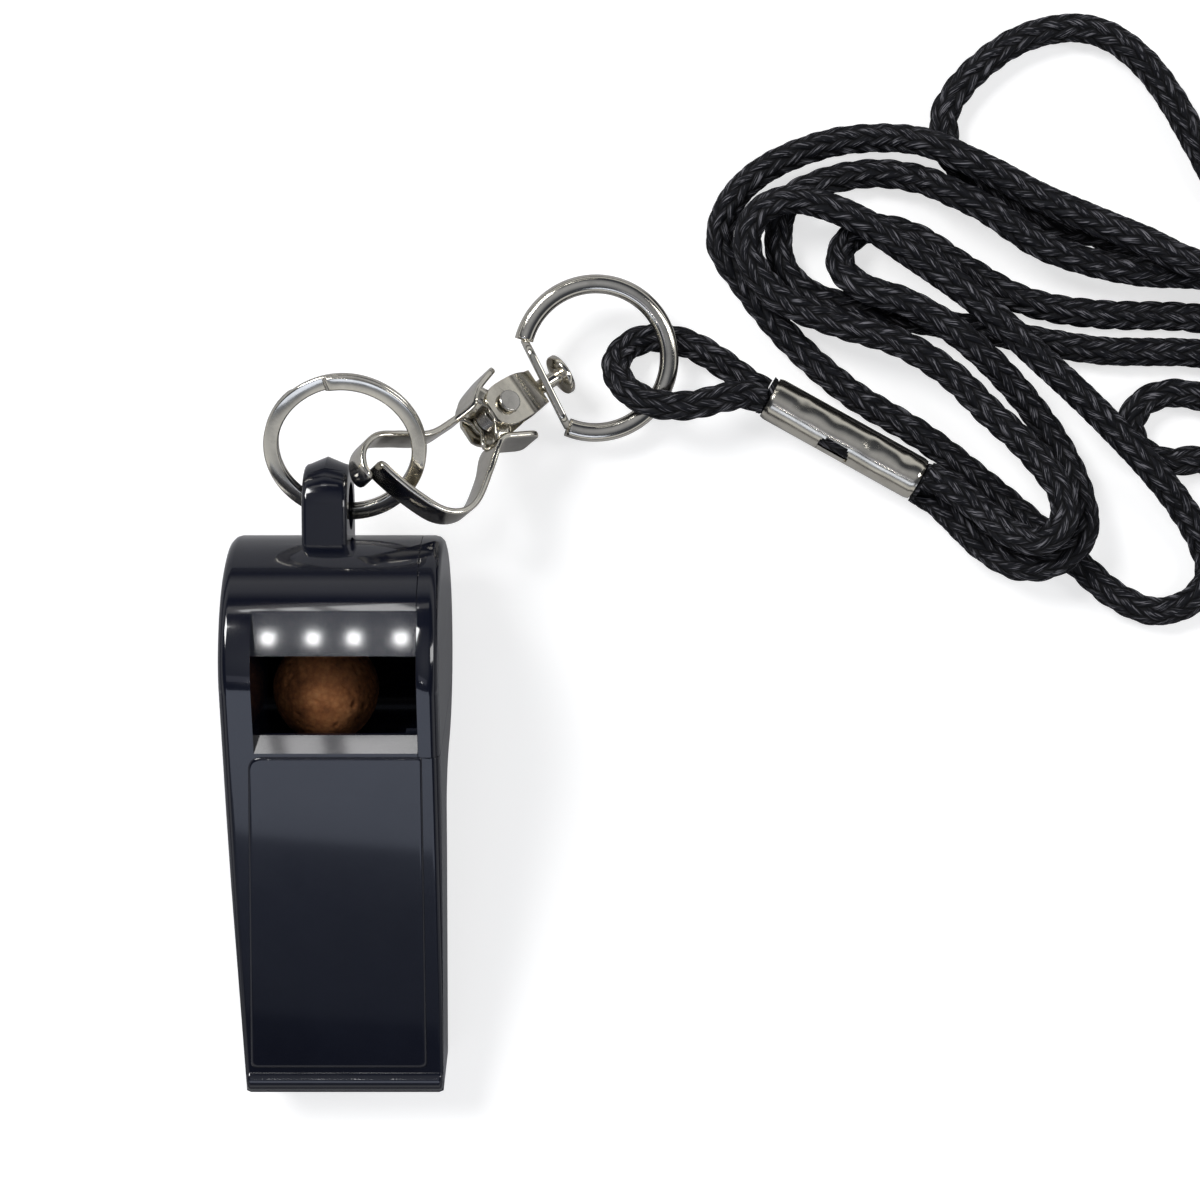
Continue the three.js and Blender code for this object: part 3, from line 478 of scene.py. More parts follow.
CROWN_PROUD, VALLEY = 0.04, 0.30     # how far the strands stand out, and how deep the valleys are
U_SHIFT, V_SHIFT = 0.013, 0.007      # keep the mesh's points off the borders of the strands
PATH_STEP = 1.5


def braid_height(u, v):
    """0 in the valleys to 1 on a strand's crown: two strands over, two under."""
    a, b = u + v, u - v
    row_a, row_b = np.floor(a), np.floor(b)
    step = np.mod(row_a + row_b, 4)
    over = step < 1.5
    across = np.where(over, a - row_a, b - row_b) - 0.5
    along = (np.mod(step, 2) + np.where(over, b - row_b, a - row_a)) / 2
    return np.sqrt(np.clip(1 - 3.9 * across ** 2, 0, 1)) * np.clip(np.sin(np.pi * along), 0, 1) ** 0.55


def braided(name, route, step, sides, solid):
    """The cord along a route, its strands raised in the mesh and laid out in the UV map weave."""
    line, run = catmull(route, step)
    tangent, normal, side = carried_frames(line)
    rings = len(line)
    angle = 2 * np.pi * np.arange(sides) / sides
    u = STRANDS * angle / (2 * np.pi) + U_SHIFT
    v = run / BRAID_PITCH + V_SHIFT
    crown = braid_height(u[None, :], v[:, None])
    radius = CORD_RADIUS + CROWN_PROUD - VALLEY * (1 - crown)
    points = line[:, None, :] + radius[:, :, None] * (
        np.cos(angle)[None, :, None] * normal[:, None, :] + np.sin(angle)[None, :, None] * side[:, None, :]
    )
    points = (points.reshape(-1, 3) + np.array(SHIFT)) * 0.001
    points[:, 2] = np.maximum(points[:, 2], 0.0)
    ob = add_object(name, points.tolist(), tube_faces(rings, sides), CORD)
    ends = np.append(u, u[0] + STRANDS)
    rows = np.arange(rings - 1)[:, None]
    columns = np.arange(sides)[None, :]
    corners = np.stack([
        np.stack([ends[columns + du] + 0 * rows, v[rows + dv] + 0 * columns], axis=2)
        for du, dv in ((0, 0), (1, 0), (1, 1), (0, 1))
    ], axis=2).reshape(-1, 2)
    weave = ob.data.uv_layers.new(name="weave")
    all_corners = np.zeros((len(ob.data.loops), 2), dtype=np.float32)
    all_corners[:len(corners)] = corners
    weave.data.foreach_set("uv", all_corners.ravel())
    attach(ob, "lanyard", solid)
    every = max(1, int(PATH_STEP / step))
    path = [tuple(place(p)) for p in line[::every]] + [tuple(place(line[-1]))]
    return ob, path, run[-1] * 0.001


neck, neck_path, neck_length = braided("neck_cord_braid", NECK_ROUTE, 0.3, 34, "neck_cord")
tie, tie_path, tie_length = braided("tie_loop_braid", TIE_ROUTE, 0.15, 48, "tie_loop")


# Hard parts: a copy of the CAD mesh with its edges eased and its surfaces smoothed

SEAM, TOP = 7.75, 11.0
CAP_FRONT = -5.45                # the cap's edge ahead of the window
CAP_GAP, HAIRLINE = 0.3, 0.03    # its clearance in the CAD solids, and what is left of it here
NEAR, MARGIN = 0.02, 0.05


def rest_tilt():
    """Turn of the whistle about X, from the normal of its flat top."""
    mesh = frame["nodes"]["body_shell"].data
    up = max((f for f in mesh.polygons if f.normal.z > 0.8), key=lambda f: f.area)
    return math.atan2(-up.normal.y, up.normal.z)


TILT = rest_tilt()
TO_BODY = Matrix.Rotation(-TILT, 3, "X")


def in_body(world):
    return TO_BODY @ (Vector(world) * 1000 - AXIS)


def from_body(point):
    return (TO_BODY.inverted() @ Vector(point) + AXIS) * 0.001


SHARP_ANGLE = math.radians(34)   # edges sharper than this are eased
KEPT_ANGLE = math.radians(50)    # after that, edges sharper than this are shaded as creases
FINE_EASE = 0.00005


def refine(name, ease, material, shape=None, fine_edge=None, cut=None):
    """A copy of a CAD solid with its edges eased, less so where fine_edge says.

    cut changes the mesh and shape moves its points, both before the edges are eased."""
    source = frame["nodes"][name]
    mesh = source.data.copy()
    mesh.name = name + "_eased"
    for attribute in [a.name for a in mesh.attributes if a.name == "custom_normal"]:
        mesh.attributes.remove(mesh.attributes[attribute])
    bm = bmesh.new()
    bm.from_mesh(mesh)
    bmesh.ops.remove_doubles(bm, verts=bm.verts, dist=2e-6)
    if cut:
        cut(bm)
    if shape:
        for vertex in bm.verts:
            vertex.co = shape(vertex.co)
    bmesh.ops.dissolve_limit(bm, angle_limit=math.radians(0.4), verts=bm.verts, edges=bm.edges)
    bmesh.ops.dissolve_degenerate(bm, dist=2e-6, edges=bm.edges)
    sharp = [e for e in bm.edges if e.is_manifold and e.calc_face_angle(0) > SHARP_ANGLE]
    is_fine = [bool(fine_edge and fine_edge(e)) for e in sharp]
    fine = [e for e, yes in zip(sharp, is_fine) if yes]
    broad = [e for e, yes in zip(sharp, is_fine) if not yes]
    for edges, offset in ((broad, ease), (fine, FINE_EASE)):
        edges = [e for e in edges if e.is_valid]
        if edges:
            bmesh.ops.bevel(bm, geom=edges, offset=offset, segments=2, profile=0.5, affect="EDGES",
                            clamp_overlap=True, offset_type="OFFSET")
    bmesh.ops.recalc_face_normals(bm, faces=bm.faces)
    for face in bm.faces:
        face.smooth = True
    mark_creases(bm, KEPT_ANGLE)
    sort_by_place(bm)
    bm.to_mesh(mesh)
    bm.free()
    mesh.materials.clear()
    mesh.materials.append(material)
    ob = link_object(name + "_eased", mesh)
    even_normals(ob).keep_sharp = True
    attach(ob, source["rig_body"], name)


def close_seam(world):
    """The glued cap sits up against the shell: its clearance shrinks to a hairline."""
    at = in_body(world)
    if abs(at.x - SEAM - CAP_GAP) < NEAR:
        at.x = SEAM + HAIRLINE
    if abs(at.y - CAP_FRONT) < NEAR:
        at.y -= CAP_GAP - HAIRLINE
    return from_body(at)


def by_seam(edge):
    ends = [in_body(v.co) for v in edge.verts]
    beside = all(SEAM - MARGIN < e.x < SEAM + CAP_GAP + MARGIN for e in ends)
    low, high = CAP_FRONT - CAP_GAP - MARGIN, CAP_FRONT + MARGIN
    ahead = all(low < e.y < high and e.x > SEAM - MARGIN for e in ends)
    return beside or ahead


LUG_MIDDLE = -1.0
LUG_HOLE = in_body(JOINTS["whistle_swing"]["pos_m"])
LUG_TURN = math.radians(4) - TILT      # the lug points 4 degrees up once the whistle lies down
LUG_RIDGE, LUG_HALF_WIDTH = 0.65, 2.2
LUG_INNER, LUG_OUTER = 3.1, 4.4        # the end lies between these distances from the hole


def ridge_lug(bm):
    """The lug's round end comes to a low ridge along its middle."""
    def from_hole(vertex):
        at = in_body(vertex.co)
        y, z = at.y - LUG_HOLE.y, at.z - LUG_HOLE.z
        return math.hypot(y, z), math.atan2(z, y)

    def on_end(vertex):
        at = in_body(vertex.co)
        far, angle = from_hole(vertex)
        outer_half = math.cos(angle - LUG_TURN) > -0.03
        return abs(at.x - LUG_MIDDLE) < LUG_HALF_WIDTH and LUG_INNER < far < LUG_OUTER and outer_half

    faces = [f for f in bm.faces if all(on_end(v) for v in f.verts)]
    edges = list(dict.fromkeys(e for f in faces for e in f.edges))
    verts = list(dict.fromkeys(v for f in faces for v in f.verts))
    bmesh.ops.bisect_plane(bm, geom=verts + edges + faces, dist=1e-7,
                           plane_co=from_body((LUG_MIDDLE, 0, 0)), plane_no=(1, 0, 0))
    for vertex in bm.verts:
        if on_end(vertex) and abs(in_body(vertex.co).x - LUG_MIDDLE) < 0.01:
            angle = from_hole(vertex)[1]
            lift = LUG_RIDGE * max(0.0, math.cos(angle - LUG_TURN))
            outward = Vector((0, math.cos(angle), math.sin(angle)))
            vertex.co = from_body(in_body(vertex.co) + outward * lift)


refine("body_shell", 0.00018, PLASTIC, fine_edge=by_seam, cut=ridge_lug)
refine("side_cap", 0.00018, PLASTIC, shape=close_seam, fine_edge=by_seam)


# the panel's corners, each with its rounding, and the rows of its edge as (inset, height)
PANEL_CORNERS = [(-7.35, -5.62, 1.3), (-8.75, -37.6, 0.5), (7.75, -37.6, 0.5), (8.15, -5.62, 0.3)]
PANEL_EDGE = [(0.0, -0.02), (0.02, 0.06), (0.10, 0.12), (0.22, 0.145), (0.34, 0.15)]
PANEL_MIDDLE = -21.6


def mouth_panel():
    """Flat field on the mouthpiece, standing a hair proud, with eased edges and rounded corners."""
    outline = []
    for i, (x, y, rounding) in enumerate(PANEL_CORNERS):
        corner = Vector((x, y))
        before = (Vector(PANEL_CORNERS[i - 1][:2]) - corner).normalized()
        after = (Vector(PANEL_CORNERS[(i + 1) % 4][:2]) - corner).normalized()
        for k in range(9):
            t = k / 8
            a, b = corner + before * rounding, corner + after * rounding
            outline.append(a * (1 - t) ** 2 + corner * 2 * t * (1 - t) + b * t ** 2)
    rows = []
    for inset, height in PANEL_EDGE:
        row = []
        for p in outline:
            x = p.x - math.copysign(inset, p.x)
            y = p.y - math.copysign(inset, p.y - PANEL_MIDDLE)
            row.append(from_body((x, y, TOP + height)))
        rows.append(row)
    count = len(outline)
    verts = [v for row in rows for v in row]
    faces = [
        (a + j, a + (j + 1) % count, a + count + (j + 1) % count, a + count + j)
        for a in range(0, (len(rows) - 1) * count, count) for j in range(count)
    ]
    faces.append(tuple((len(rows) - 1) * count + j for j in range(count)))
    faces.append(tuple(reversed(range(count))))
    panel = add_object("mouth_panel", verts, faces, PLASTIC)
    point_outward(panel)
    even_normals(panel)
    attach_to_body(panel, "whistle")


mouth_panel()
refine("clip_bail", 0.00008, NICKEL_DULL)
refine("swivel_stud", 0.00012, NICKEL)
refine("jaw_rivet", 0.00012, STEEL)


# Cork pea: a ball with low lumps and pits

PEA_RADIUS = 5.0


def pea():
    low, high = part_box("cork_pea")
    centre = (Vector(low) + Vector(high)) / 2
    radius = (Vector(high) - Vector(low)).length / 2 / math.sqrt(3)
    bm = bmesh.new()
    bmesh.ops.create_icosphere(bm, subdivisions=6, radius=radius)
    for vertex in bm.verts:
        at = vertex.co * 1000
        lumps = noise.noise(at * 0.35) * 0.08
        pits = min(0.0, noise.noise(at * 1.7 + Vector((9, 2, 4))) + 0.30) * 0.5
        fine = noise.noise(at * 4.0) * 0.03
        vertex.co *= 1 + (lumps + pits + fine - 0.09) / PEA_RADIUS
    for face in bm.faces:
        face.smooth = True
    mesh = bpy.data.meshes.new("pea_ball")
    bm.to_mesh(mesh)
    bm.free()
    mesh.transform(Matrix.Translation(centre))
    mesh.materials.append(CORK)
    attach(link_object("pea_ball", mesh), "pea", "cork_pea")


pea()


# Split ring: two flat turns of one wire, as wound

RING_CENTRE = (0.87, 18.66, 14.88)
RING_TILT = math.radians(33)
RING_RADIUS = 6.72
RING_STRIP = (1.35, 0.53, 0.16)   # width, thickness, rounding
TURN_SPACING = 0.554
RING_TURNS, RING_START = 1.93, math.radians(128)
CLIMB_AT, CLIMB = 0.86, 0.20      # in turns: where the wire crosses to its second level


def section(width, height, rounding, per_corner=3):
    """A rounded rectangle about the origin."""
    points = []
    for cx, cy, start in ((1, 1, 0), (-1, 1, 90), (-1, -1, 180), (1, -1, 270)):
        for k in range(per_corner + 1):
            a = math.radians(start + 90 * k / per_corner)
            points.append((
                cx * (width / 2 - rounding) + rounding * math.cos(a),
                cy * (height / 2 - rounding) + rounding * math.sin(a),
            ))
    return points


def split_ring():
    """One flat wire wound in nearly two turns, thinner at its tips."""
    profile = section(*RING_STRIP)
    turn_matrix = Matrix.Rotation(RING_TILT, 4, "X")
    steps = 190
    verts = []
    for i in range(steps + 1):
        share = i / steps
        a = RING_START + 2 * math.pi * RING_TURNS * share
        level = TURN_SPACING * (smoothstep((share * RING_TURNS - CLIMB_AT) / CLIMB) - 0.5)
        taper = min(1.0, min(share, 1 - share) * steps / 2.5 + 0.55)
        for w, h in profile:
            r = RING_RADIUS + w * (0.8 + 0.2 * taper)
            z = level + h * taper
            local = Vector((r * math.cos(a), r * math.sin(a), z))
            verts.append(place(turn_matrix @ local + Vector(RING_CENTRE)))
    ob = add_object("ring_turns", verts, tube_faces(steps + 1, len(profile)), NICKEL)
    attach(ob, "split_ring", "split_ring")


split_ring()


# Clip: its axes, the two jaws, and the spring round the rivet

HEADING = math.radians(213.65)
SLOPE = math.radians(33)
PIVOT = Vector((14.02, 22.17, 7.6))
LEVEL = Vector((math.cos(HEADING), math.sin(HEADING), 0))
ALONG = LEVEL * math.cos(SLOPE) + Vector((0, 0, math.sin(SLOPE)))
UP = LEVEL * -math.sin(SLOPE) + Vector((0, 0, math.cos(SLOPE)))
RIGHT = UP.cross(ALONG)


def in_clip(s, t, n):
    return PIVOT + ALONG * s + RIGHT * t + UP * n


def holed_plate(name, outline, hole, low, high, ease, to_world, material):
    """Flat plate with a hole, both given as loops of as many points, with eased edges."""
    rows = []
    for loop, inward in ((outline, -1), (hole, 1)):
        levels = [(low, ease), (low + ease, 0.0), (high - ease, 0.0), (high, ease)]
        for level, pull in levels if inward < 0 else reversed(levels):
            row = []
            for a, b in loop:
                scale = 1 + inward * pull / math.hypot(a, b)
                row.append(place(to_world(a * scale, b * scale, level)))
            rows.append(row)
    count = len(outline)
    faces = []
    for i in range(len(rows)):
        a, b = i * count, ((i + 1) % len(rows)) * count
        for j in range(count):
            k = (j + 1) % count
            faces.append((a + j, b + j, b + k, a + k))
    plate = add_object(name, [v for row in rows for v in row], faces, material)
    point_outward(plate)
    even_normals(plate)
    return plate


def flat_spline(points, step):
    """The CAD source's flat spline: uniform Catmull-Rom with its end points repeated."""
    p = [np.array(q, dtype=float) for q in points]
    fine = []
    for i in range(len(p) - 1):
        a, b, c, d = p[max(i - 1, 0)], p[i], p[i + 1], p[min(i + 2, len(p) - 1)]
        v0, v1 = (c - a) / 2, (d - b) / 2
        for k in range(20):
            t = k / 20
            cubic, square = 2 * b - 2 * c + v0 + v1, -3 * b + 3 * c - 2 * v0 - v1
            fine.append(cubic * t ** 3 + square * t ** 2 + v0 * t + b)
    fine.append(p[-1])
    line = np.array(fine)
    run = np.concatenate([[0], np.cumsum(np.linalg.norm(np.diff(line, axis=0), axis=1))])
    even = np.linspace(0, run[-1], int(run[-1] / step) + 1)
    return np.stack([np.interp(even, run, line[:, k]) for k in range(2)], axis=1), even


JAWS = {
    "jaw_left": ([
        [-1.85, -3.6], [0.6, -2.85], [1.65, -2.2], [2.65, -1.55], [4.9, -1.3], [7.8, -1.35],
        [10.75, -2.8], [12.7, -3.6], [14.55, -3.1], [15.5, -1.7], [15.4, -0.4],
    ], (1.65, -2.2), 2.0),
    "jaw_right": ([
        [-1.95, 3.9], [0.5, 2.85], [1.55, 2.5], [2.65, 2.9], [4.6, 4.4], [7.4, 6.1], [9.4, 6.3],
        [11.15, 5.2], [12.5, 2.7], [13.4, 0.3], [13.85, -1.5],
    ], (1.55, 2.5), 1.35),
}
TAB_HALF, ARM_HALF, CLAW_HALF = 2.2, 1.6, 1.5
STRIP, STRIP_ROUND, TIP_ROUND = 0.6, 0.22, 0.8
EAR_RADIUS, EAR_THICKNESS, EAR_HOLE, NECK_HALF = 1.35, 0.35, 0.75, 0.8


def strip_half_width(along):
    """Wide at the finger tab, eased down to the arm, a little narrower at the claw."""
    if along < 5:
        half = TAB_HALF + (ARM_HALF - TAB_HALF) * smoothstep((along - 2) / 3)
        return half - 0.5 * min(1.0, max(0.0, (-1 - along) / 3))
    return ARM_HALF + (CLAW_HALF - ARM_HALF) * min(1.0, max(0.0, (along - 12) / 6))


def jaw(name):
    """A bent strip with rounded edges and tips, and two folded ears round the rivet."""
    points, bend, ear_low = JAWS[name]
    line, run = flat_spline(points, 0.14)
    tangent = np.gradient(line, axis=0)
    tangent /= np.linalg.norm(tangent, axis=1)[:, None]
    verts = []
    for (s, t), (ds, dt), at in zip(line, tangent, run):
        half = strip_half_width(s)
        end = min(at, run[-1] - at)
        if end < TIP_ROUND:
            half -= TIP_ROUND - math.sqrt(TIP_ROUND ** 2 - (TIP_ROUND - end) ** 2)
        thick = STRIP * (0.62 + 0.38 * min(1.0, (end / 0.3)) ** 0.5)
        profile = section(thick, 2 * half, min(STRIP_ROUND, thick * 0.4), 4)
        for across, up in profile:
            verts.append(place(in_clip(s - dt * across, t + ds * across, up)))
    strip = add_object(name + "_strip", verts, tube_faces(len(line), len(profile)), NICKEL)
    even_normals(strip)
    pieces = [strip]
    reach, turn = math.hypot(*bend), math.atan2(bend[1], bend[0])
    outline, hole = [], []
    for k in range(72):
        a = 2 * math.pi * k / 72
        off = (a - turn + math.pi) % (2 * math.pi) - math.pi
        bar = 0.0
        if abs(off) < math.pi / 2 - 0.01:
            bar = min(reach / math.cos(off), NECK_HALF / max(abs(math.sin(off)), 1e-3))
        r = max(EAR_RADIUS, bar)
        outline.append((r * math.cos(a), r * math.sin(a)))
        hole.append((EAR_HOLE * math.cos(a), EAR_HOLE * math.sin(a)))
    for low in (ear_low, -ear_low - EAR_THICKNESS):
        label = "upper" if low > 0 else "lower"
        pieces.append(holed_plate(f"{name}_{label}_ear", outline, hole, low, low + EAR_THICKNESS, 0.07,
                                  in_clip, NICKEL_DULL))
    for piece in pieces:
        attach(piece, name, name)


for jaw_name in JAWS:
    jaw(jaw_name)


def spring():
    """The torsion spring: a coil round the rivet and two short legs."""
    turns, radius, wire = 5.5, 1.28, 0.27
    points = [in_clip(-1.75, -1.62, -0.98)]
    count = 150
    for i in range(count + 1):
        a = math.radians(-90) + 2 * math.pi * turns * i / count
        n = -0.9 + 1.8 * i / count
        points.append(in_clip(radius * math.cos(a), radius * math.sin(a), n))
    points.append(in_clip(-1.75, 1.62, 0.98))
    line, _ = catmull(points, 0.12)
    _, normal, side = carried_frames(line)
    verts = []
    for p, u, v in zip(line, normal, side):
        for k in range(8):
            a = 2 * math.pi * k / 8
            verts.append(place(Vector(p) + (Vector(u) * math.cos(a) + Vector(v) * math.sin(a)) * wire / 2))
    ob = add_object("spring_coil", verts, tube_faces(len(line), 8), STEEL)
    attach(ob, "clip_body", "jaw_spring")


spring()


# D-ring: a bent wire brazed to a flat plate with rounded ends

D_HEADING = math.radians(26.8)
D_ROLL = math.radians(11.2)
D_FAR = Vector((math.cos(D_HEADING), math.sin(D_HEADING), 0))
D_LEVEL = Vector((-math.sin(D_HEADING), math.cos(D_HEADING), 0))
D_LEFT = D_LEVEL * math.cos(D_ROLL) + Vector((0, 0, math.sin(D_ROLL)))
D_UP = D_FAR.cross(D_LEFT)
LEAN = math.radians(14)
BAIL_NECK, STUD_REACH = 4.5, 2.15
D_PLATE = PIVOT + ALONG * (-BAIL_NECK - STUD_REACH * math.cos(LEAN)) + UP * (STUD_REACH * math.sin(LEAN))
D_BOW, D_FLAT = 7.05, 5.3        # radius of the bow, and the flat's distance from its centre
D_HOLE = 1.65
D_WIRE = (0.90, 0.88)            # half its thickness, in the ring's plane and across it
D_WIRE_SHAPE = 0.8               # 1 is round, less is squarer
PLATE_FLAT, PLATE_END = 3.0, 1.8           # the plate's half length is these two together
PLATE_HALF_WIDTH, PLATE_HALF, PLATE_EASE = 2.5, 0.35, 0.14
D_CENTRE = D_PLATE + D_FAR * D_FLAT


def in_d(x, y, z):
    return D_CENTRE + D_FAR * x + D_LEFT * y + D_UP * z


def d_ring():
    chord = math.pi - math.acos(D_FLAT / D_BOW)
    steps, sides = 96, 20
    verts = []
    for i in range(steps + 1):
        a = -chord + 2 * chord * i / steps
        for k in range(sides):
            b = 2 * math.pi * k / sides
            r, z = math.cos(b), math.sin(b)
            r = math.copysign(abs(r) ** D_WIRE_SHAPE, r) * D_WIRE[0]
            z = math.copysign(abs(z) ** D_WIRE_SHAPE, z) * D_WIRE[1]
            verts.append(place(in_d((D_BOW + r) * math.cos(a), (D_BOW + r) * math.sin(a), z)))
    wire = add_object("d_wire", verts, tube_faces(steps + 1, sides), NICKEL)
    outline = []
    for cx, start in ((PLATE_FLAT, -90), (-PLATE_FLAT, 90)):
        for k in range(17):
            a = math.radians(start + 180 * k / 16)
            outline.append((cx + PLATE_END * math.cos(a), PLATE_HALF_WIDTH * math.sin(a)))
    hole = []
    for k in range(len(outline)):
        a = 2 * math.pi * k / len(outline) - math.pi / 2
        hole.append((D_HOLE * math.cos(a), D_HOLE * math.sin(a)))
    plate = holed_plate("d_plate", outline, hole, -PLATE_HALF, PLATE_HALF, PLATE_EASE,
                        lambda y, z, depth: in_d(depth - D_FLAT, y, z), NICKEL)
    for ob in (wire, plate):
        attach(ob, "d_ring", "d_ring")


d_ring()


# Ferrule: thin tube with crimp dents, rolled ends and a notch that shows the cord

FERRULE_LEFT = Vector((40.3, 24.2, 3.0))
FERRULE_HEADING = math.radians(-29.1)
FERRULE_LENGTH = 16.2
F_ALONG = Vector((math.cos(FERRULE_HEADING), math.sin(FERRULE_HEADING), 0))
F_SIDE = Vector((-math.sin(FERRULE_HEADING), math.cos(FERRULE_HEADING), 0))
# crimp dents: place along the tube (share), place round it (degrees), depth, length and spread (degrees)
DENTS = (
    (0.20, 64, 0.16, 0.75, 24), (0.40, 58, 0.12, 0.75, 24), (0.66, 70, 0.14, 0.75, 24),
    (0.88, 60, 0.18, 0.75, 24), (0.30, 100, 0.10, 1.5, 45), (0.72, 100, 0.10, 1.5, 45),
)
NOTCH_AT, NOTCH_HALF = 0.47, 1.6              # along the tube
NOTCH_ROUND, NOTCH_ROUND_HALF = 150, 37       # round it, in degrees
CORE_INSIDE, CORE_AT_ENDS = 1.55, 1.92        # radius of the cord inside the tube
FERRULE_RADIUS, FERRULE_WALL = 2.13, 0.36
ROLL_IN, ROLL_REACH = (0.10, -0.02), 0.25     # how far the outer and inner skin turn in at the ends


def ferrule():
    """Two skins of a dented tube, joined at the ends and round the notch."""
    steps, sides = 110, 56
    verts, faces = [], []
    for skin in (0, 1):
        for i in range(steps + 1):
            x = FERRULE_LENGTH * i / steps
            for j in range(sides):
                a = 2 * math.pi * j / sides
                radius = FERRULE_RADIUS - FERRULE_WALL * skin
                end = min(x, FERRULE_LENGTH - x)
                radius -= ROLL_IN[skin] * math.exp(-(end / ROLL_REACH) ** 2)
                for at, towards, depth, length, width in DENTS:
                    gap = (math.degrees(a) - towards + 180) % 360 - 180
                    off = (x - at * FERRULE_LENGTH) / length
                    radius -= depth * math.exp(-off ** 2 - (gap / width) ** 2)
                out = F_SIDE * (radius * math.cos(a)) + Vector((0, 0, radius * math.sin(a)))
                verts.append(place(FERRULE_LEFT + F_ALONG * x + out))
    per = (steps + 1) * sides

    def cut(i, j):
        x = FERRULE_LENGTH * (i + 0.5) / steps
        a = math.degrees(2 * math.pi * (j + 0.5) / sides)
        across = (x - FERRULE_LENGTH * NOTCH_AT) / NOTCH_HALF
        round_it = (a - NOTCH_ROUND) / NOTCH_ROUND_HALF
        return abs(across) ** 3 + abs(round_it) ** 3 < 1

    gone = {(i, j) for i in range(steps) for j in range(sides) if cut(i, j)}
    for i in range(steps):
        for j in range(sides):
            if (i, j) in gone:
                continue
            k = (j + 1) % sides
            a, b, c, d = i * sides + j, i * sides + k, (i + 1) * sides + k, (i + 1) * sides + j
            faces.append((a, d, c, b))
            faces.append((per + a, per + b, per + c, per + d))
            for di, dj, edge in ((-1, 0, (a, b)), (1, 0, (c, d)), (0, -1, (d, a)), (0, 1, (b, c))):
                ni, nj = i + di, (j + dj) % sides
                if ni < 0 or ni >= steps or (ni, nj) in gone:
                    p, q = edge
                    faces.append((p, q, per + q, per + p))
    ob = add_object("ferrule_tube", verts, faces, NICKEL_DULL)
    point_outward(ob, crease=math.radians(45))
    attach(ob, "lanyard", "cord_ferrule")


def crimped_core():
    """The cord inside the ferrule, a little thicker where it comes out at the ends."""
    sides = 28
    core_route = [tuple(FERRULE_LEFT + F_ALONG * x) for x in (-0.5, 4, 8, 12, 16.7)]
    line, run = catmull(core_route, 0.3)
    _, normal, side = carried_frames(line)
    verts = []
    for p, u, v, s in zip(line, normal, side, run):
        inside = min(1.0, max(0.0, (min(s, run[-1] - s) - 0.2) / 0.4))
        thick = CORE_AT_ENDS - (CORE_AT_ENDS - CORE_INSIDE) * inside
        for k in range(sides):
            a = 2 * math.pi * k / sides
            weave = float(braid_height(np.float64(STRANDS * k / sides), np.float64(s / BRAID_PITCH)))
            out = Vector(u) * math.cos(a) + Vector(v) * math.sin(a)
            verts.append(place(Vector(p) + out * (thick + 0.1 * weave)))
    core = add_object("crimped_core", verts, tube_faces(len(line), sides), CORD)
    weave_map = core.data.uv_layers.new(name="weave")
    for face in core.data.polygons[:-2]:
        i, j = divmod(face.index, sides)
        for corner, (du, dv) in zip(face.loop_indices, ((0, 0), (1, 0), (1, 1), (0, 1))):
            weave_map.data[corner].uv = (STRANDS * (j + du) / sides, run[i + dv] / BRAID_PITCH)
    attach(core, "lanyard", "crimped_strands")


ferrule()
crimped_core()


# Floor, light and background

def keep_under(floor, names):
    """Lowers the floor to the lowest of these CAD solids, where a joint swings the whistle down."""
    tree = bpy.data.node_groups.new("floor_height", "GeometryNodeTree")
    tree.interface.new_socket("Geometry", in_out="INPUT", socket_type="NodeSocketGeometry")
    tree.interface.new_socket("Geometry", in_out="OUTPUT", socket_type="NodeSocketGeometry")
    start, end = tree.nodes.new("NodeGroupInput"), tree.nodes.new("NodeGroupOutput")
    join = tree.nodes.new("GeometryNodeJoinGeometry")
    for name in names:
        solid = node(tree, "GeometryNodeObjectInfo", transform_space="RELATIVE")
        solid.inputs["Object"].default_value = frame["nodes"][name]
        tree.links.new(solid.outputs["Geometry"], join.inputs["Geometry"])
    box = tree.nodes.new("GeometryNodeBoundBox")
    lowest = tree.nodes.new("ShaderNodeSeparateXYZ")
    drop = node(tree, "ShaderNodeMath", operation="MINIMUM")
    drop.inputs[1].default_value = 0.0
    shift = tree.nodes.new("ShaderNodeCombineXYZ")
    move = tree.nodes.new("GeometryNodeTransform")
    tree.links.new(join.outputs["Geometry"], box.inputs["Geometry"])
    tree.links.new(box.outputs["Min"], lowest.inputs["Vector"])
    tree.links.new(lowest.outputs["Z"], drop.inputs[0])
    tree.links.new(drop.outputs["Value"], shift.inputs["Z"])
    tree.links.new(start.outputs["Geometry"], move.inputs["Geometry"])
    tree.links.new(shift.outputs["Vector"], move.inputs["Translation"])
    tree.links.new(move.outputs["Geometry"], end.inputs["Geometry"])
    floor.modifiers.new("stay_under", "NODES").node_group = tree


SWINGING = ("body_shell", "side_cap", "split_ring", "jaw_left", "jaw_right", "clip_bail", "d_ring")


def by_ray(tree, kind, others, chosen):
    """One shader for rays of this kind, and another for all the rest."""
    path = node(tree, "ShaderNodeLightPath")
    mix = node(tree, "ShaderNodeMixShader")
    tree.links.new(path.outputs[kind], mix.inputs["Fac"])
    tree.links.new(others.outputs[0], mix.inputs[1])
    tree.links.new(chosen.outputs[0], mix.inputs[2])
    return mix


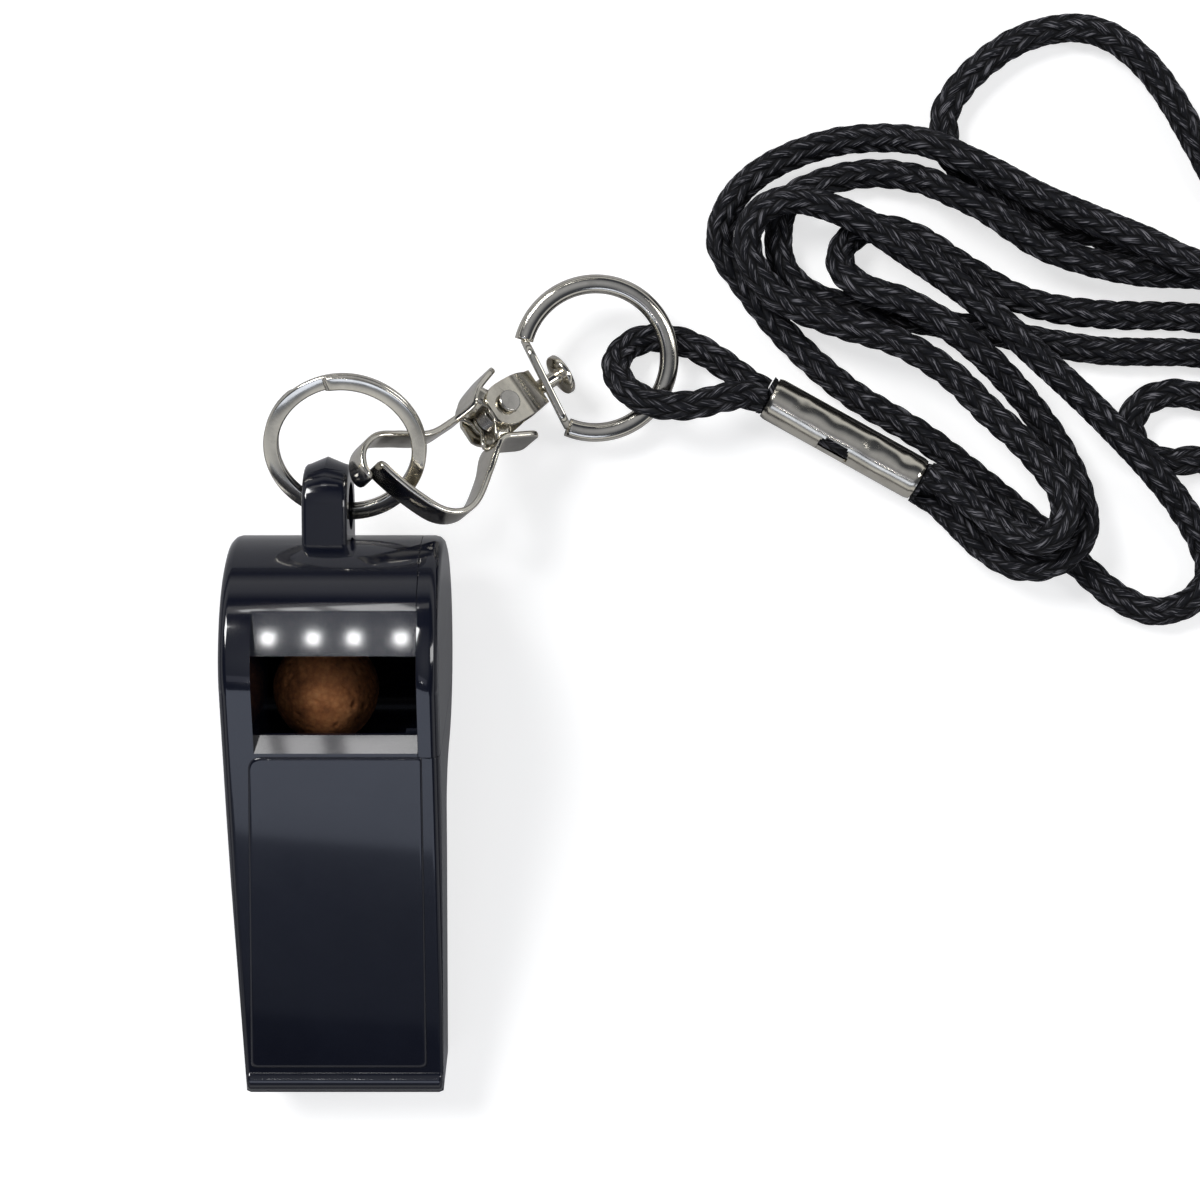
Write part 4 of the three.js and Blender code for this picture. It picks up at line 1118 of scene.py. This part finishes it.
def studio_floor():
    """A floor that is white to the camera and plain to the object."""
    material = bpy.data.materials.new("floor_white")
    material.use_nodes = True
    tree = material.node_tree
    tree.nodes.clear()
    out = node(tree, "ShaderNodeOutputMaterial")
    diffuse = node(tree, "ShaderNodeBsdfDiffuse", Color=(0.80, 0.80, 0.80, 1))
    pale = node(tree, "ShaderNodeBsdfDiffuse", Color=(0.50, 0.50, 0.50, 1))
    glow = node(tree, "ShaderNodeEmission", Color=(1, 1, 1, 1), Strength=0.68)
    both = node(tree, "ShaderNodeAddShader")
    tree.links.new(pale.outputs[0], both.inputs[0])
    tree.links.new(glow.outputs[0], both.inputs[1])
    dim = node(tree, "ShaderNodeBsdfDiffuse", Color=(0.40, 0.40, 0.41, 1))
    glossy = by_ray(tree, "Is Glossy Ray", diffuse, dim)
    mix = by_ray(tree, "Is Camera Ray", glossy, both)
    tree.links.new(mix.outputs[0], out.inputs["Surface"])
    size, level = 1.5, -2e-5
    corners = [(-size, -size, level), (size, -size, level), (size, size, level), (-size, size, level)]
    floor = add_object("floor", corners, [(0, 1, 2, 3)], material, smooth=False)
    keep_under(floor, SWINGING)


def studio_world():
    """A sky that is white to the camera and has dark and bright bands for the gloss to show."""
    world = bpy.data.worlds.new("studio")
    bpy.context.scene.world = world
    world.use_nodes = True
    tree = world.node_tree
    tree.nodes.clear()
    out = node(tree, "ShaderNodeOutputWorld")
    direction = node(tree, "ShaderNodeSeparateXYZ")
    tree.links.new(node(tree, "ShaderNodeTexCoord").outputs["Generated"], direction.inputs["Vector"])
    # from the horizon up: dark, a low bright band, dark again, and a dim patch straight overhead
    band = ramp(tree, direction.outputs["Z"], [
        (0.0, (0.20, 0.20, 0.20)), (0.12, (0.06, 0.06, 0.07)), (0.28, (0.75, 0.75, 0.75)),
        (0.46, (0.55, 0.56, 0.58)), (0.58, (0.03, 0.033, 0.04)), (0.85, (0.06, 0.065, 0.08)),
        (0.96, (0.30, 0.31, 0.34)), (1.0, (0.42, 0.43, 0.46)),
    ])
    light = node(tree, "ShaderNodeBackground", Strength=0.85)
    tree.links.new(band, light.inputs["Color"])
    white = node(tree, "ShaderNodeBackground", Color=(1, 1, 1, 1), Strength=1.0)
    mix = by_ray(tree, "Is Camera Ray", light, white)
    tree.links.new(mix.outputs[0], out.inputs["Surface"])


def area(name, at, target, size, size_y, power, colour=(1, 1, 1)):
    data = bpy.data.lights.new(name, "AREA")
    data.shape = "RECTANGLE"
    data.size = size
    data.size_y = size_y
    data.energy = power
    data.color = colour
    ob = link_object(name, data)
    ob.location = at
    ob.rotation_euler = (Vector(target) - Vector(at)).to_track_quat("-Z", "Y").to_euler()


studio_floor()
studio_world()

TOP_HEIGHT = 20
WHISTLE_TOP = place((0, 0, TOP_HEIGHT))
COOL, COOLER, WARM = (0.76, 0.83, 1.0), (0.80, 0.82, 1.0), (1.0, 0.99, 0.95)
NORTH_LAMP, RING_LAMP = 0.014, 0.0026


def from_whistle(degrees_south, distance, across):
    """A place over the whistle, leaning from the vertical towards the mouth (or away, if negative)."""
    lean = math.radians(degrees_south)
    return place((across, -distance * math.sin(lean), TOP_HEIGHT + distance * math.cos(lean)))


area("key", (-0.34, 0.30, 0.58), (0.01, 0.0, 0.0), 0.26, 0.22, 3.6)
area("fill", (0.46, 0.05, 0.45), (0.02, 0.0, 0.0), 0.14, 0.30, 0.9)
area("mouth_soft", from_whistle(43, 480, -40), WHISTLE_TOP, 0.36, 0.11, 0.16, COOL)
area("mouth_low", from_whistle(52.5, 480, -40), WHISTLE_TOP, 0.36, 0.05, 0.009, COOL)
area("ramp_soft", from_whistle(23, 420, -40), WHISTLE_TOP, 0.20, 0.05, 0.013, COOLER)
area("north_soft", from_whistle(-46, 560, -60), WHISTLE_TOP, 0.34, 0.05, 0.045, WARM)
for lamp, (x, width) in enumerate(((-88, 0.014), (-70, 0.012), (-44, 0.026))):
    area(f"north_lamp_{lamp}", from_whistle(-45, 540, x), WHISTLE_TOP, width, NORTH_LAMP,
         0.0050 * width / NORTH_LAMP)
for lamp, x in enumerate((-46.8, -37.2, -28.5, -18.5)):
    area(f"ring_lamp_{lamp}", place((x, -128.0, 287.0)), WHISTLE_TOP, RING_LAMP, RING_LAMP, 0.0014)

bpy.context.scene.view_settings.view_transform = "Standard"
